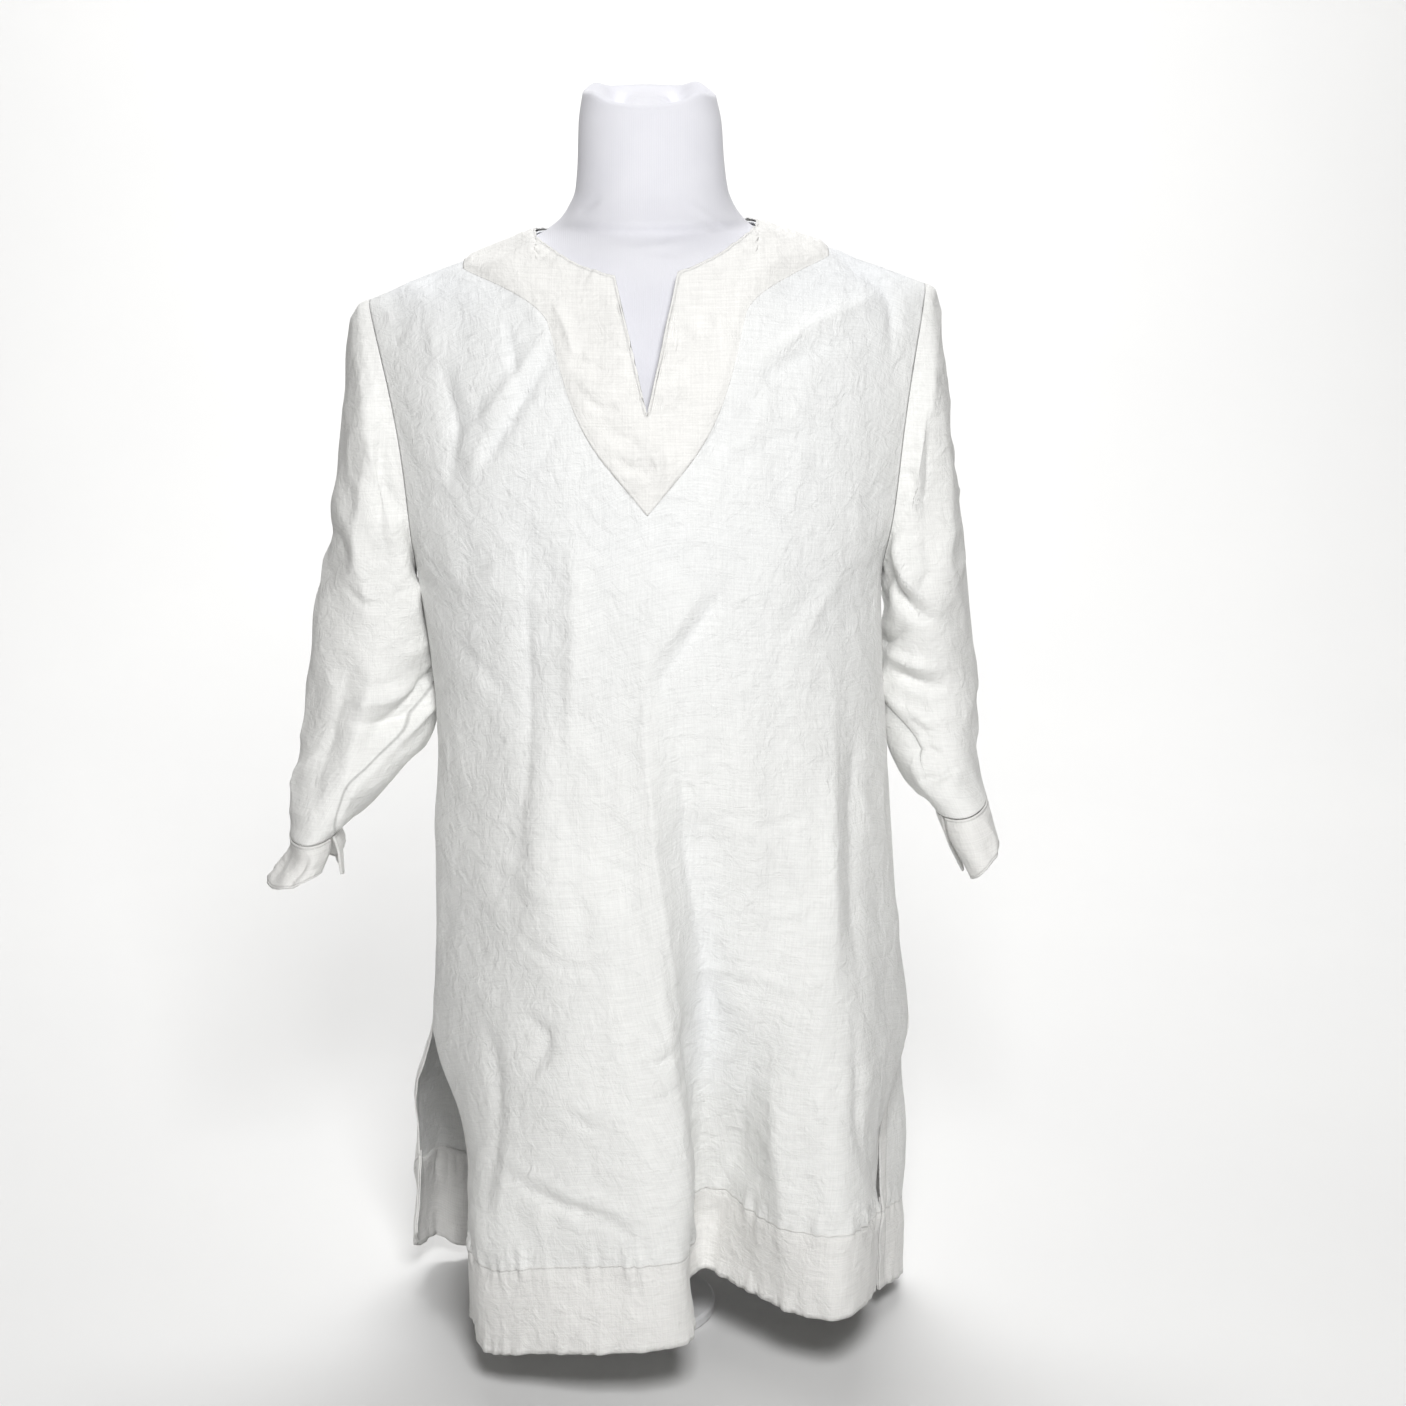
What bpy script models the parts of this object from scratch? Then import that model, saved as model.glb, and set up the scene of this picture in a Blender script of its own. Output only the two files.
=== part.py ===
# Tunic top of thin linen, worn by a limbless dress form on a short pole and a round base.
# Metres, +Z up, the front of the tunic faces -Y, the base stands on z = 0.
import math

import bmesh
import bpy

# Walls of cloth, and the gaps between pieces
PANEL_WALL = 0.0012
FACING_WALL = 0.0010
CUFF_WALL = 0.0020
SEAM_GAP = 0.0003
LAP_GAP = 0.0003

# Heights on the garment
UNDERARM_Z = 0.628
CHEST_Z = 0.680
LOWER_Z = 0.300
NARROW_Z = 0.500

# The body of the tunic
MIDDLE_X = 0.0025
SECTION_POWER = 2.0
ROLL_POWER = 2.5
SHOULDER_SPREAD = 1.5
ARMHOLE_ANGLE = math.radians(60)

# Shoulder line: height at the neck point, distance of that point from the middle, slope
NECK_POINT_REACH = 0.0835
SHOULDER_LEFT = {"height": 0.886, "slope": 0.40, "tip": 0.2095}
SHOULDER_RIGHT = {"height": 0.893, "slope": 0.36, "tip": 0.2115}
NECK_RISE = 0.25

# Neckline and the notch in it
NECK_FRONT_DROP = 0.028
NECK_BACK_DROP = 0.003
NOTCH_HALF_WIDTH = 0.0235
NOTCH_DEPTH = 0.095

# Neck facing: a band round the neck with a pointed bib below it
BAND_END_REACH = 0.137
BIB_CORNER_REACH = 0.074
BIB_CORNER_Z = 0.821
BIB_TIP_Z = 0.692
BIB_STRAIGHT = 0.59
BIB_POWER = 6.0
BAND_ROUNDNESS = 0.45
BAND_END_HEIGHT = 0.003
BACK_BAND_Z = 0.832
BACK_BAND_RISE = 2.2

# Height, left and right reach of the side seams, depth of the front and of the back,
# and depth of the armhole edge
SECTIONS = [
    (0.000, 0.181, 0.212, 0.152, 0.130, 0.000),
    (0.260, 0.173, 0.208, 0.146, 0.122, 0.000),
    (0.340, 0.169, 0.198, 0.140, 0.116, 0.000),
    (0.420, 0.168, 0.192, 0.136, 0.110, 0.000),
    (0.500, 0.164, 0.186, 0.132, 0.105, 0.000),
    (0.560, 0.169, 0.183, 0.130, 0.103, 0.000),
    (0.628, 0.178, 0.181, 0.129, 0.103, 0.000),
    (0.654, 0.180, 0.185, 0.128, 0.103, 0.032),
    (0.680, 0.181, 0.189, 0.127, 0.102, 0.044),
]

# The front hem from the left slit to the right one: x, y, height of the hem
FRONT_HEM = [
    (-0.140, -0.098, 0.046),
    (-0.127, -0.142, 0.038),
    (-0.083, -0.173, 0.050),
    (-0.036, -0.190, 0.058),
    (0.004, -0.196, 0.062),
    (0.032, -0.184, 0.063),
    (0.037, -0.150, 0.066),
    (0.032, -0.104, 0.072),
    (0.044, -0.078, 0.075),
    (0.075, -0.100, 0.069),
    (0.110, -0.137, 0.066),
    (0.147, -0.155, 0.067),
    (0.171, -0.128, 0.068),
    (0.184, -0.058, 0.057),
]

# The back hem in the same order
BACK_HEM = [
    (-0.190, 0.050, 0.054),
    (-0.191, 0.076, 0.022),
    (-0.165, 0.112, 0.012),
    (-0.118, 0.134, 0.010),
    (-0.066, 0.114, 0.013),
    (-0.008, 0.138, 0.010),
    (0.052, 0.116, 0.013),
    (0.108, 0.136, 0.010),
    (0.160, 0.116, 0.013),
    (0.196, 0.088, 0.016),
    (0.213, 0.040, 0.020),
    (0.190, -0.010, 0.026),
]

# Heights between which the plain section turns into the folded hem:
# where it starts and where it is complete, in the middle and at the slits
FOLD_START = {"middle": 0.600, "slit": 0.262}
FOLD_END_ACROSS = {"middle": 0.150, "slit": 0.165}
SLIT_INFLUENCE = (0.45, 0.94)
FOLD_END_DEEP = {"middle": 0.060, "slit": 0.130}

# Long soft folds on the panels: side (-1 front, 1 back), x and height of the top,
# x and height of the bottom, half width, rise off the panel
SOFT_FOLDS = [
    (-1, -0.085, 0.660, -0.112, 0.260, 0.030, 0.0060),
    (-1, -0.040, 0.560, -0.052, 0.180, 0.024, -0.0050),
    (-1, 0.070, 0.600, 0.090, 0.170, 0.030, 0.0050),
    (-1, 0.152, 0.560, 0.172, 0.140, 0.020, -0.0050),
    (1, -0.120, 0.640, -0.130, 0.120, 0.026, 0.0060),
    (1, -0.060, 0.700, -0.066, 0.140, 0.028, -0.0060),
    (1, 0.004, 0.620, -0.006, 0.120, 0.028, 0.0060),
    (1, 0.066, 0.700, 0.054, 0.140, 0.026, -0.0050),
    (1, 0.130, 0.640, 0.140, 0.120, 0.026, 0.0060),
]

# Sleeves below the armhole: x and height of the outer side, x and height of the inner
# side, y of the middle, half depth; x is the distance from the middle plane
SLEEVE_LEFT = [
    (0.2175, 0.8285, 0.1800, 0.6225, 0.000, 0.0480),
    (0.2225, 0.8130, 0.1815, 0.6160, 0.002, 0.0500),
    (0.2275, 0.7850, 0.1800, 0.6070, 0.005, 0.0510),
    (0.2320, 0.7420, 0.1765, 0.5960, 0.010, 0.0520),
    (0.2385, 0.6940, 0.1715, 0.5820, 0.015, 0.0520),
    (0.2480, 0.6400, 0.1665, 0.5640, 0.020, 0.0510),
    (0.2580, 0.5820, 0.1645, 0.5430, 0.023, 0.0510),
    (0.2645, 0.5280, 0.1625, 0.5200, 0.023, 0.0505),
    (0.2690, 0.4940, 0.1670, 0.4930, 0.018, 0.0500),
    (0.2740, 0.4680, 0.1870, 0.4690, 0.010, 0.0500),
    (0.2775, 0.4450, 0.2130, 0.4480, 0.000, 0.0500),
    (0.2785, 0.4220, 0.2400, 0.4240, -0.010, 0.0510),
]
SLEEVE_RIGHT = [
    (0.2240, 0.8400, 0.1895, 0.6225, 0.000, 0.0480),
    (0.2280, 0.8270, 0.1910, 0.6150, 0.002, 0.0500),
    (0.2315, 0.8000, 0.1905, 0.6080, 0.005, 0.0510),
    (0.2360, 0.7600, 0.1895, 0.5990, 0.010, 0.0520),
    (0.2395, 0.7080, 0.1872, 0.5840, 0.015, 0.0520),
    (0.2470, 0.6490, 0.1848, 0.5650, 0.020, 0.0510),
    (0.2555, 0.5950, 0.1840, 0.5460, 0.023, 0.0510),
    (0.2620, 0.5350, 0.1855, 0.5230, 0.023, 0.0505),
    (0.2630, 0.4950, 0.1935, 0.4840, 0.018, 0.0500),
    (0.2645, 0.4720, 0.2035, 0.4610, 0.010, 0.0500),
    (0.2665, 0.4570, 0.2160, 0.4470, 0.000, 0.0500),
    (0.2680, 0.4480, 0.2275, 0.4370, -0.010, 0.0500),
]

# How the sleeve leaves its seam: step outward, drop, share of the slanting ring
SLEEVE_HEAD = [(0.005, 0.0018, 0.0), (0.009, 0.0050, 0.5)]

# Folds round the sleeves: ring at the middle of the fold, place round the sleeve
# (0 outer, 90 front, 180 inner, in degrees), half length in rings, half width in degrees,
# rings climbed for each degree, rise
SLEEVE_FOLDS = [
    (5.0, 70, 1.6, 60, 0.010, 0.0045),
    (7.5, 120, 1.2, 50, -0.014, -0.0040),
    (9.0, 90, 1.0, 60, 0.012, 0.0035),
    (6.0, 270, 1.5, 60, -0.010, 0.0045),
    (8.5, 300, 1.2, 60, 0.012, -0.0035),
]

# Cuffs: outer side, inner side, y of the middle and half depth at the top and the bottom
CUFF_LEFT = [
    (0.2790, 0.4209, 0.2397, 0.4229, -0.0103, 0.0512),
    (0.2860, 0.4060, 0.2395, 0.4050, -0.0120, 0.0520),
    (0.2965, 0.3890, 0.2415, 0.3860, -0.0140, 0.0530),
]
CUFF_RIGHT = [
    (0.2685, 0.4469, 0.2281, 0.4359, -0.0103, 0.0502),
    (0.2725, 0.4280, 0.2370, 0.4120, -0.0120, 0.0510),
    (0.2780, 0.4070, 0.2490, 0.3870, -0.0140, 0.0520),
]
# Angle of the slit's two edges at the top and the bottom of a cuff
CUFF_SLIT_TOP = (142.0, 150.0)
CUFF_SLIT_BOTTOM = (134.0, 172.0)

# Dress form: height, reach to the left and to the right, front depth, back depth,
# power of the section; the shoulder line sets the reaches that are None
FORM_RINGS = [
    (0.256, 0.118, 0.124, 0.080, 0.080, 2.4),
    (0.262, 0.125, 0.131, 0.087, 0.087, 2.4),
    (0.300, 0.134, 0.140, 0.094, 0.092, 2.4),
    (0.380, 0.132, 0.138, 0.096, 0.088, 2.3),
    (0.480, 0.120, 0.126, 0.094, 0.080, 2.3),
    (0.580, 0.136, 0.142, 0.106, 0.084, 2.3),
    (0.680, 0.152, 0.158, 0.111, 0.087, 2.2),
    (0.740, 0.162, 0.169, 0.108, 0.086, 2.1),
    (0.790, 0.172, 0.181, 0.100, 0.081, 1.9),
    (0.815, 0.180, 0.189, 0.092, 0.075, 1.7),
    (0.832, 0.188, 0.196, 0.085, 0.069, 1.55),
    (0.842, None, 0.1985, 0.081, 0.065, 1.45),
    (0.853, None, None, 0.077, 0.061, 1.4),
    (0.864, None, None, 0.073, 0.058, 1.4),
    (0.875, None, None, 0.068, 0.055, 1.35),
    (0.8843, 0.0820, 0.0995, 0.061, 0.050, 1.25),
    (0.8885, 0.0745, 0.0865, 0.056, 0.049, 1.3),
    (0.8912, 0.0710, 0.0800, 0.054, 0.049, 1.35),
    (0.896, 0.0650, 0.0745, 0.055, 0.050, 1.6),
    (0.905, 0.0585, 0.0675, 0.050, 0.051, 1.8),
    (0.918, 0.0530, 0.0620, 0.043, 0.051, 2.0),
    (0.940, 0.0510, 0.0590, 0.038, 0.051, 2.0),
    (0.968, 0.0500, 0.0570, 0.036, 0.051, 2.0),
    (0.986, 0.0470, 0.0530, 0.035, 0.051, 2.0),
]
# The neck's top is tilted forward and its cover is sunk in the middle:
# share of the rim's size and depth below the rim
NECK_TILT = 0.10
NECK_TILT_START_Z = 0.930
SEAT_CLEARANCE = 0.0001
NECK_SINK = [(0.90, -0.002), (0.74, 0.004), (0.45, 0.011), (0.18, 0.013)]
FORM_SIDES = 28

# Stand
POLE_RADIUS = 0.011
BASE_RADIUS = 0.076
BASE_THICKNESS = 0.010
BASE_EDGE = 0.002
POLE_EDGE = 0.001
POLE_SIDES = 20
BASE_SIDES = 40
STAND_X = -0.020
STAND_Y = 0.018

# How finely the cloth is divided
LOWER_STEPS = (0.0, 0.145, 0.29, 0.46, 0.64, 0.82)
UPPER_HEIGHTS = (0.300, 0.355, 0.41, 0.47, 0.53, 0.58, UNDERARM_Z, 0.654, CHEST_Z)
ROLL_STEPS_BELOW_FACING = 4
ROLL_STEPS_UNDER_FACING = 5
COLUMN_MARKS = (NOTCH_HALF_WIDTH, BIB_CORNER_REACH, NECK_POINT_REACH, BAND_END_REACH)
COLUMN_COUNTS = (3, 4, 2, 3, 6)
LAST_COLUMN_SHARE = 0.6
HEM_FACING_STEPS = 3
CUFF_SIDES = 14

# Colours
LINEN = (0.90, 0.90, 0.87)
LINEN_DOUBLE = (0.92, 0.91, 0.86)
JERSEY = (0.86, 0.86, 0.90)
STAND_WHITE = (0.80, 0.80, 0.81)
CLOTH_ROUGHNESS = 0.85
STAND_ROUGHNESS = 0.5


def smooth(t):
    """Ease from 0 to 1."""
    t = min(max(t, 0.0), 1.0)
    return t * t * (3.0 - 2.0 * t)


def mix(a, b, t):
    return a + (b - a) * t


def power(value, exponent):
    """A power that keeps the sign."""
    return math.copysign(abs(value) ** exponent, value)


def along(rows, key):
    """Read a table at a key between its rows, on a smooth curve that never overshoots."""
    keys = [row[0] for row in rows]
    key = min(max(key, keys[0]), keys[-1])
    last = len(rows) - 1
    i = max(k for k in range(last) if keys[k] <= key)
    step = keys[i + 1] - keys[i]
    t = (key - keys[i]) / step

    def slope(k, column):
        if k in (0, last):
            a, b = (0, 1) if k == 0 else (last - 1, last)
            return (rows[b][column] - rows[a][column]) / (keys[b] - keys[a])
        before = (rows[k][column] - rows[k - 1][column]) / (keys[k] - keys[k - 1])
        after = (rows[k + 1][column] - rows[k][column]) / (keys[k + 1] - keys[k])
        return 0.0 if before * after <= 0 else 2 * before * after / (before + after)

    values = []
    for column in range(1, len(rows[0])):
        a, b = rows[i][column], rows[i + 1][column]
        bend_a, bend_b = slope(i, column) * step, slope(i + 1, column) * step
        ease = smooth(t)
        values.append(mix(a, b, ease) + bend_a * t * (1 - t) ** 2 - bend_b * t * t * (1 - t))
    return values


def spline(points, share):
    """Point at a share of the length of a smooth line through points."""
    lengths = [0.0]
    for a, b in zip(points, points[1:]):
        lengths.append(lengths[-1] + math.dist(a[:2], b[:2]))
    rows = [(length / lengths[-1], *point) for length, point in zip(lengths, points)]
    rows = [(-0.02, *extend(points[1], points[0])), *rows, (1.02, *extend(points[-2], points[-1]))]
    return catmull(rows, min(max(share, 0.0), 1.0))


def extend(a, b):
    """A point a little way past b on the line from a."""
    return tuple(mix(p, q, 1.15) for p, q in zip(a, b))


def catmull(rows, key):
    keys = [row[0] for row in rows]
    i = min(max(k for k in range(len(rows)) if keys[k] <= key), len(rows) - 3)
    i = max(i, 1)
    step = keys[i + 1] - keys[i]
    t = (key - keys[i]) / step
    values = []
    for column in range(1, len(rows[0])):
        a, b = rows[i][column], rows[i + 1][column]
        bend_a = (b - rows[i - 1][column]) / (keys[i + 1] - keys[i - 1]) * step
        bend_b = (rows[i + 2][column] - a) / (keys[i + 2] - keys[i]) * step
        values.append(mix(a, b, smooth(t)) + bend_a * t * (1 - t) ** 2 - bend_b * t * t * (1 - t))
    return values


def shoulder(u):
    return SHOULDER_RIGHT if u > 0 else SHOULDER_LEFT


def neck_height(u):
    """Height of the neck points, carried across from one shoulder to the other."""
    across = math.copysign(column_reach(u), u) / NECK_POINT_REACH
    return mix(SHOULDER_LEFT["height"], SHOULDER_RIGHT["height"], smooth((across + 1) / 2))


def ridge_height(u):
    """Height of the tunic's shoulder line above a column."""
    past_neck = column_reach(u) - NECK_POINT_REACH
    slope = NECK_RISE if past_neck < 0 else shoulder(u)["slope"]
    return neck_height(u) - slope * past_neck


def section_share(u, angle):
    """How far across its side a column lies, from -1 to 1."""
    return power(math.sin(u * angle), 2 / SECTION_POWER) / math.sin(angle) ** (2 / SECTION_POWER)


def plain_point(side, u, z):
    """Point of the tunic before its folds, at a height up to the chest."""
    left, right, front, back, edge = along(SECTIONS, z)
    angle = mix(math.pi / 2, ARMHOLE_ANGLE, smooth((z - UNDERARM_Z) / (CHEST_Z - UNDERARM_Z)))
    x = MIDDLE_X + section_share(u, angle) * (right if u > 0 else left)
    depth = front if side < 0 else back
    edge = max(edge, SEAM_GAP / 2)
    turn = power(math.cos(u * angle), 2 / SECTION_POWER)
    end = max(math.cos(angle), 0.0) ** (2 / SECTION_POWER)
    fall = (1 - turn) / (1 - end)
    return x, side * (depth - (depth - edge) * fall)


def build_arc_table(side, count=40):
    """Share of the cloth's width passed at each column."""
    points = [plain_point(side, -1 + 2 * k / count, NARROW_Z) for k in range(count + 1)]
    lengths = [0.0]
    for a, b in zip(points, points[1:]):
        lengths.append(lengths[-1] + math.dist(a, b))
    return [(-1 + 2 * k / count, length / lengths[-1]) for k, length in enumerate(lengths)]


WIDTH_SHARE = {side: build_arc_table(side) for side in (-1, 1)}


def hem_point(side, u):
    share = along(WIDTH_SHARE[side], u)[0]
    return spline(FRONT_HEM if side < 0 else BACK_HEM, share)


def fold_rise(side, x, z):
    """How far the soft folds lift the cloth off its plain form."""
    rise = 0.0
    for fold_side, top_x, top_z, low_x, low_z, half_width, height in SOFT_FOLDS:
        t = (top_z - z) / (top_z - low_z)
        if fold_side != side or not 0.0 < t < 1.0:
            continue
        across = (x - mix(top_x, low_x, t)) / half_width
        if abs(across) < 1.0:
            rise += height * math.sin(math.pi * t) * math.cos(across * math.pi / 2) ** 2
    return rise


def body_point(side, u, z):
    """Point of a panel at a height up to the chest, folds included."""
    x, y = plain_point(side, u, z)
    edge = smooth((abs(u) - SLIT_INFLUENCE[0]) / (SLIT_INFLUENCE[1] - SLIT_INFLUENCE[0]))
    top = mix(FOLD_START["middle"], FOLD_START["slit"], edge)
    across_end = mix(FOLD_END_ACROSS["middle"], FOLD_END_ACROSS["slit"], edge)
    deep_end = mix(FOLD_END_DEEP["middle"], FOLD_END_DEEP["slit"], edge)
    hem_x, hem_y, _ = hem_point(side, u)
    across = smooth((top - z) / (top - across_end))
    deep = smooth((top - z) / (top - deep_end))
    lift = fold_rise(side, x, z) * (1 - edge)
    return mix(x, hem_x, across), mix(y, hem_y, deep) + side * lift, z


def roll_point(side, u, phi):
    """Point of a panel between the chest and the shoulder line."""
    x0, y0 = plain_point(side, u, CHEST_Z)
    climb = power(math.sin(phi), 2 / ROLL_POWER)
    x1 = MIDDLE_X + math.copysign(column_reach(u), u)
    z1 = ridge_height(u)
    back_off = power(math.cos(phi), 2 / ROLL_POWER)
    x = mix(x0, x1, abs(climb) ** SHOULDER_SPREAD)
    y = side * mix(SEAM_GAP / 2, abs(y0), back_off)
    return x, y, mix(CHEST_Z, z1, climb)


def column_reach(u):
    return abs(section_share(u, ARMHOLE_ANGLE)) * shoulder(u)["tip"]


def column_at(reach, sign):
    """The column that meets the shoulder level at a distance from the middle."""
    tip = shoulder(sign)["tip"]
    share = (reach / tip) ** (SECTION_POWER / 2) * math.sin(ARMHOLE_ANGLE)
    return math.copysign(math.asin(share) / ARMHOLE_ANGLE, sign)


def phi_at(u, z):
    """Roll angle at which a column reaches a height."""
    rise = (z - CHEST_Z) / (ridge_height(u) - CHEST_Z)
    return math.asin(min(max(rise, 0.0), 1.0) ** (ROLL_POWER / 2))


def column_top(side, u):
    """Roll angle of the column's top: the shoulder seam, the neckline or the notch."""
    reach = column_reach(u)
    if reach >= NECK_POINT_REACH - 1e-6:
        return math.pi / 2
    drop = NECK_FRONT_DROP if side < 0 else NECK_BACK_DROP
    height = neck_height(u) - drop * (1 - (reach / NECK_POINT_REACH) ** 2)
    if side < 0 and reach < NOTCH_HALF_WIDTH:
        height -= NOTCH_DEPTH * (1 - reach / NOTCH_HALF_WIDTH)
    return phi_at(u, height)


def columns():
    """Columns of both panels: they meet the notch, the bib's corners, the neck points
    and the ends of the neck facing."""
    found = [0.0]
    for sign in (-1, 1):
        marks = [column_at(reach, sign) for reach in COLUMN_MARKS] + [sign]
        for a, b, count in zip([0.0] + marks, marks, COLUMN_COUNTS):
            found += [mix(a, b, (k + 1) / count) for k in range(count)]
        found.append(mix(found[-2], sign, LAST_COLUMN_SHARE))
    return sorted(found)


def column_points(side, u):
    """All points of one column, from the hem up."""
    hem_z = hem_point(side, u)[2]
    points = [body_point(side, u, mix(hem_z, LOWER_Z, step)) for step in LOWER_STEPS]
    points += [body_point(side, u, z) for z in UPPER_HEIGHTS]
    line, top = facing_line(side, u), column_top(side, u)
    below, under = ROLL_STEPS_BELOW_FACING, ROLL_STEPS_UNDER_FACING
    angles = [line * (k + 1) / below for k in range(below)]
    angles += [mix(line, top, (k + 1) / under) for k in range(under)]
    return points + [roll_point(side, u, angle) for angle in angles]


def facing_bottom(side, u):
    """Height of the neck facing's outer edge on a column."""
    reach = column_reach(u)
    seam = ridge_height(column_at(BAND_END_REACH, u)) - BAND_END_HEIGHT
    corner = BIB_CORNER_Z + neck_height(u) - SHOULDER_LEFT["height"]
    if side > 0:
        return mix(BACK_BAND_Z, seam, (reach / BAND_END_REACH) ** BACK_BAND_RISE)
    if reach <= BIB_CORNER_REACH:
        share = reach / BIB_CORNER_REACH
        climb = mix(share ** BIB_POWER, share, BIB_STRAIGHT)
        return mix(BIB_TIP_Z, corner, climb)
    t = (reach - BIB_CORNER_REACH) / (BAND_END_REACH - BIB_CORNER_REACH)
    return mix(corner, seam, t ** BAND_ROUNDNESS)


def facing_line(side, u):
    """Roll angle of the facing's outer edge; past the facing it runs on to the armhole."""
    u = column_at(min(column_reach(u), BAND_END_REACH), u)
    return phi_at(u, facing_bottom(side, u))


def add_cell(shape, a, b, c, d):
    """One cell of a cloth grid; layers that lie on each other share its diagonal."""
    shape.faces.new((a, b, c))
    shape.faces.new((a, c, d))


def make_surface(name, rows, closed, wall, offset, colour, even=True):
    """Cloth through rows of points: an open surface with a wall on one side of it."""
    mesh = bpy.data.meshes.new(name)
    shape = bmesh.new()
    grid = [[shape.verts.new(point) for point in row] for row in rows]
    for lower, upper in zip(grid, grid[1:]):
        count = len(lower)
        for k in range(count if closed else count - 1):
            after = (k + 1) % count
            add_cell(shape, lower[k], lower[after], upper[after], upper[k])
    shape.to_mesh(mesh)
    shape.free()
    piece = add_object(name, mesh, colour, CLOTH_ROUGHNESS)
    solid = piece.modifiers.new("wall", "SOLIDIFY")
    solid.thickness = wall
    solid.offset = offset
    solid.use_even_offset = even
    return piece


def add_object(name, mesh, colour, roughness):
    piece = bpy.data.objects.new(name, mesh)
    look = bpy.data.materials.new(name)
    look.use_nodes = True
    shader = look.node_tree.nodes["Principled BSDF"]
    shader.inputs["Base Color"].default_value = (*colour, 1.0)
    shader.inputs["Roughness"].default_value = roughness
    shader.inputs["Metallic"].default_value = 0.0
    mesh.materials.append(look)
    mesh.shade_smooth()
    parts.objects.link(piece)
    return piece


def moved_out(rows, distance):
    """The same rows of points moved off their surface along its normals."""
    shape = bmesh.new()
    grid = [[shape.verts.new(point) for point in row] for row in rows]
    for lower, upper in zip(grid, grid[1:]):
        for k in range(len(lower) - 1):
            add_cell(shape, lower[k], lower[k + 1], upper[k + 1], upper[k])
    shape.normal_update()
    moved = [[tuple(v.co + v.normal * distance * v.calc_shell_factor()) for v in row] for row in grid]
    shape.free()
    return moved


def outward(side, rows):
    """Rows ordered so that their faces point away from the body."""
    return rows if side < 0 else [row[::-1] for row in rows]


def make_panel(name, side):
    points = [column_points(side, u) for u in columns()]
    rows = outward(side, [list(row) for row in zip(*points)])
    make_surface(name, rows, False, PANEL_WALL, -1.0, LINEN)
    return rows


def make_hem_facing(name, rows):
    """Deep hem: an inner layer from the hem up to the stitched line."""
    inside = moved_out(rows[:HEM_FACING_STEPS + 1], -(PANEL_WALL + LAP_GAP))[:HEM_FACING_STEPS]
    make_surface(name, inside, False, FACING_WALL, -1.0, LINEN_DOUBLE)


def make_neck_facing(name, side, rows):
    """Band round the neck, made from the panel's own points and moved off it."""
    first = len(LOWER_STEPS) + len(UPPER_HEIGHTS) - 1 + ROLL_STEPS_BELOW_FACING
    reaches = [column_reach(u) for u in columns()][::-side]
    used = [k for k, reach in enumerate(reaches) if reach <= BAND_END_REACH + 1e-6]
    raised = moved_out(rows[first - 1:], LAP_GAP)[1:]
    make_surface(name, [[row[k] for k in used] for row in raised], False, FACING_WALL, 1.0, LINEN_DOUBLE)


def armhole_ring(sign):
    """Edge of the armhole: up the front from the underarm, over the shoulder, down the back."""
    start = len(LOWER_STEPS) + UPPER_HEIGHTS.index(UNDERARM_Z)
    front = column_points(-1, float(sign))[start:]
    back = column_points(1, float(sign))[start:]
    loop = front + back[-2:0:-1]
    shifted = [(x + sign * SEAM_GAP, y, z) for x, y, z in loop]
    for k in (0, len(front) - 1):
        shifted[k] = (shifted[k][0], 0.0, shifted[k][2])
    return shifted, len(front)


def ring_angles(ring, front_count):
    """Angle of each armhole point: 0 at the shoulder, 180 at the underarm, front first."""
    lengths = [0.0]
    for a, b in zip(ring, ring[1:] + ring[:1]):
        lengths.append(lengths[-1] + math.dist(a, b))
    top, total = lengths[front_count - 1], lengths[-1]
    angles = []
    for k in range(len(ring)):
        if k < front_count:
            angles.append(math.pi * (1 - lengths[k] / top))
        else:
            angles.append(-math.pi * (lengths[k] - top) / (total - top))
    return angles


def tube_point(row, sign, angle, rise=0.0):
    """Point on a slanting ring that is given by its outer and its inner side."""
    outer_x, outer_z, inner_x, inner_z, middle_y, half_depth = row
    across, up = (outer_x - inner_x) / 2, (outer_z - inner_z) / 2
    grow = 1 + rise / half_depth
    x = (outer_x + inner_x) / 2 + across * math.cos(angle)
    z = (outer_z + inner_z) / 2 + up * math.cos(angle)
    return sign * x, middle_y - half_depth * grow * math.sin(angle), z


def sleeve_rise(ring, angle):
    degrees = math.degrees(angle) % 360
    rise = 0.0
    for middle, place, half_length, half_width, climb, height in SLEEVE_FOLDS:
        off = (degrees - place + 180) % 360 - 180
        length = (ring - middle - off * climb) / half_length
        if abs(off) < half_width and abs(length) < 1:
            swell = math.cos(off / half_width * math.pi / 2) * math.cos(length * math.pi / 2)
            rise += height * swell ** 2
    return rise


def make_sleeve(name, sign, table):
    ring, front_count = armhole_ring(sign)
    angles = ring_angles(ring, front_count)
    rows = [ring]
    for step, drop, share in SLEEVE_HEAD:
        slant = [tube_point(table[0], sign, angle) for angle in angles]
        rows.append([(mix(x + sign * step, p, share), mix(y, q, share), mix(z - drop, r, share))
                     for (x, y, z), (p, q, r) in zip(ring, slant)])
    for k, row in enumerate(table[1:], start=1):
        rows.append([tube_point(row, sign, angle, sleeve_rise(k, angle)) for angle in angles])
    if sign > 0:
        rows = [row[::-1] for row in rows]
    make_surface(name, rows, True, PANEL_WALL, -1.0, LINEN, even=False)


def make_cuff(name, sign, table):
    rows = []
    for k, row in enumerate(table):
        t = k / (len(table) - 1)
        first = mix(CUFF_SLIT_TOP[1], CUFF_SLIT_BOTTOM[1], t)
        last = mix(CUFF_SLIT_TOP[0], CUFF_SLIT_BOTTOM[0], t) + 360
        rows.append([tube_point(row, sign, math.radians(mix(first, last, j / CUFF_SIDES)))
                     for j in range(CUFF_SIDES + 1)])
    if sign < 0:
        rows = [row[::-1] for row in rows]
    make_surface(name, rows, False, CUFF_WALL, -1.0, LINEN_DOUBLE)


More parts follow.
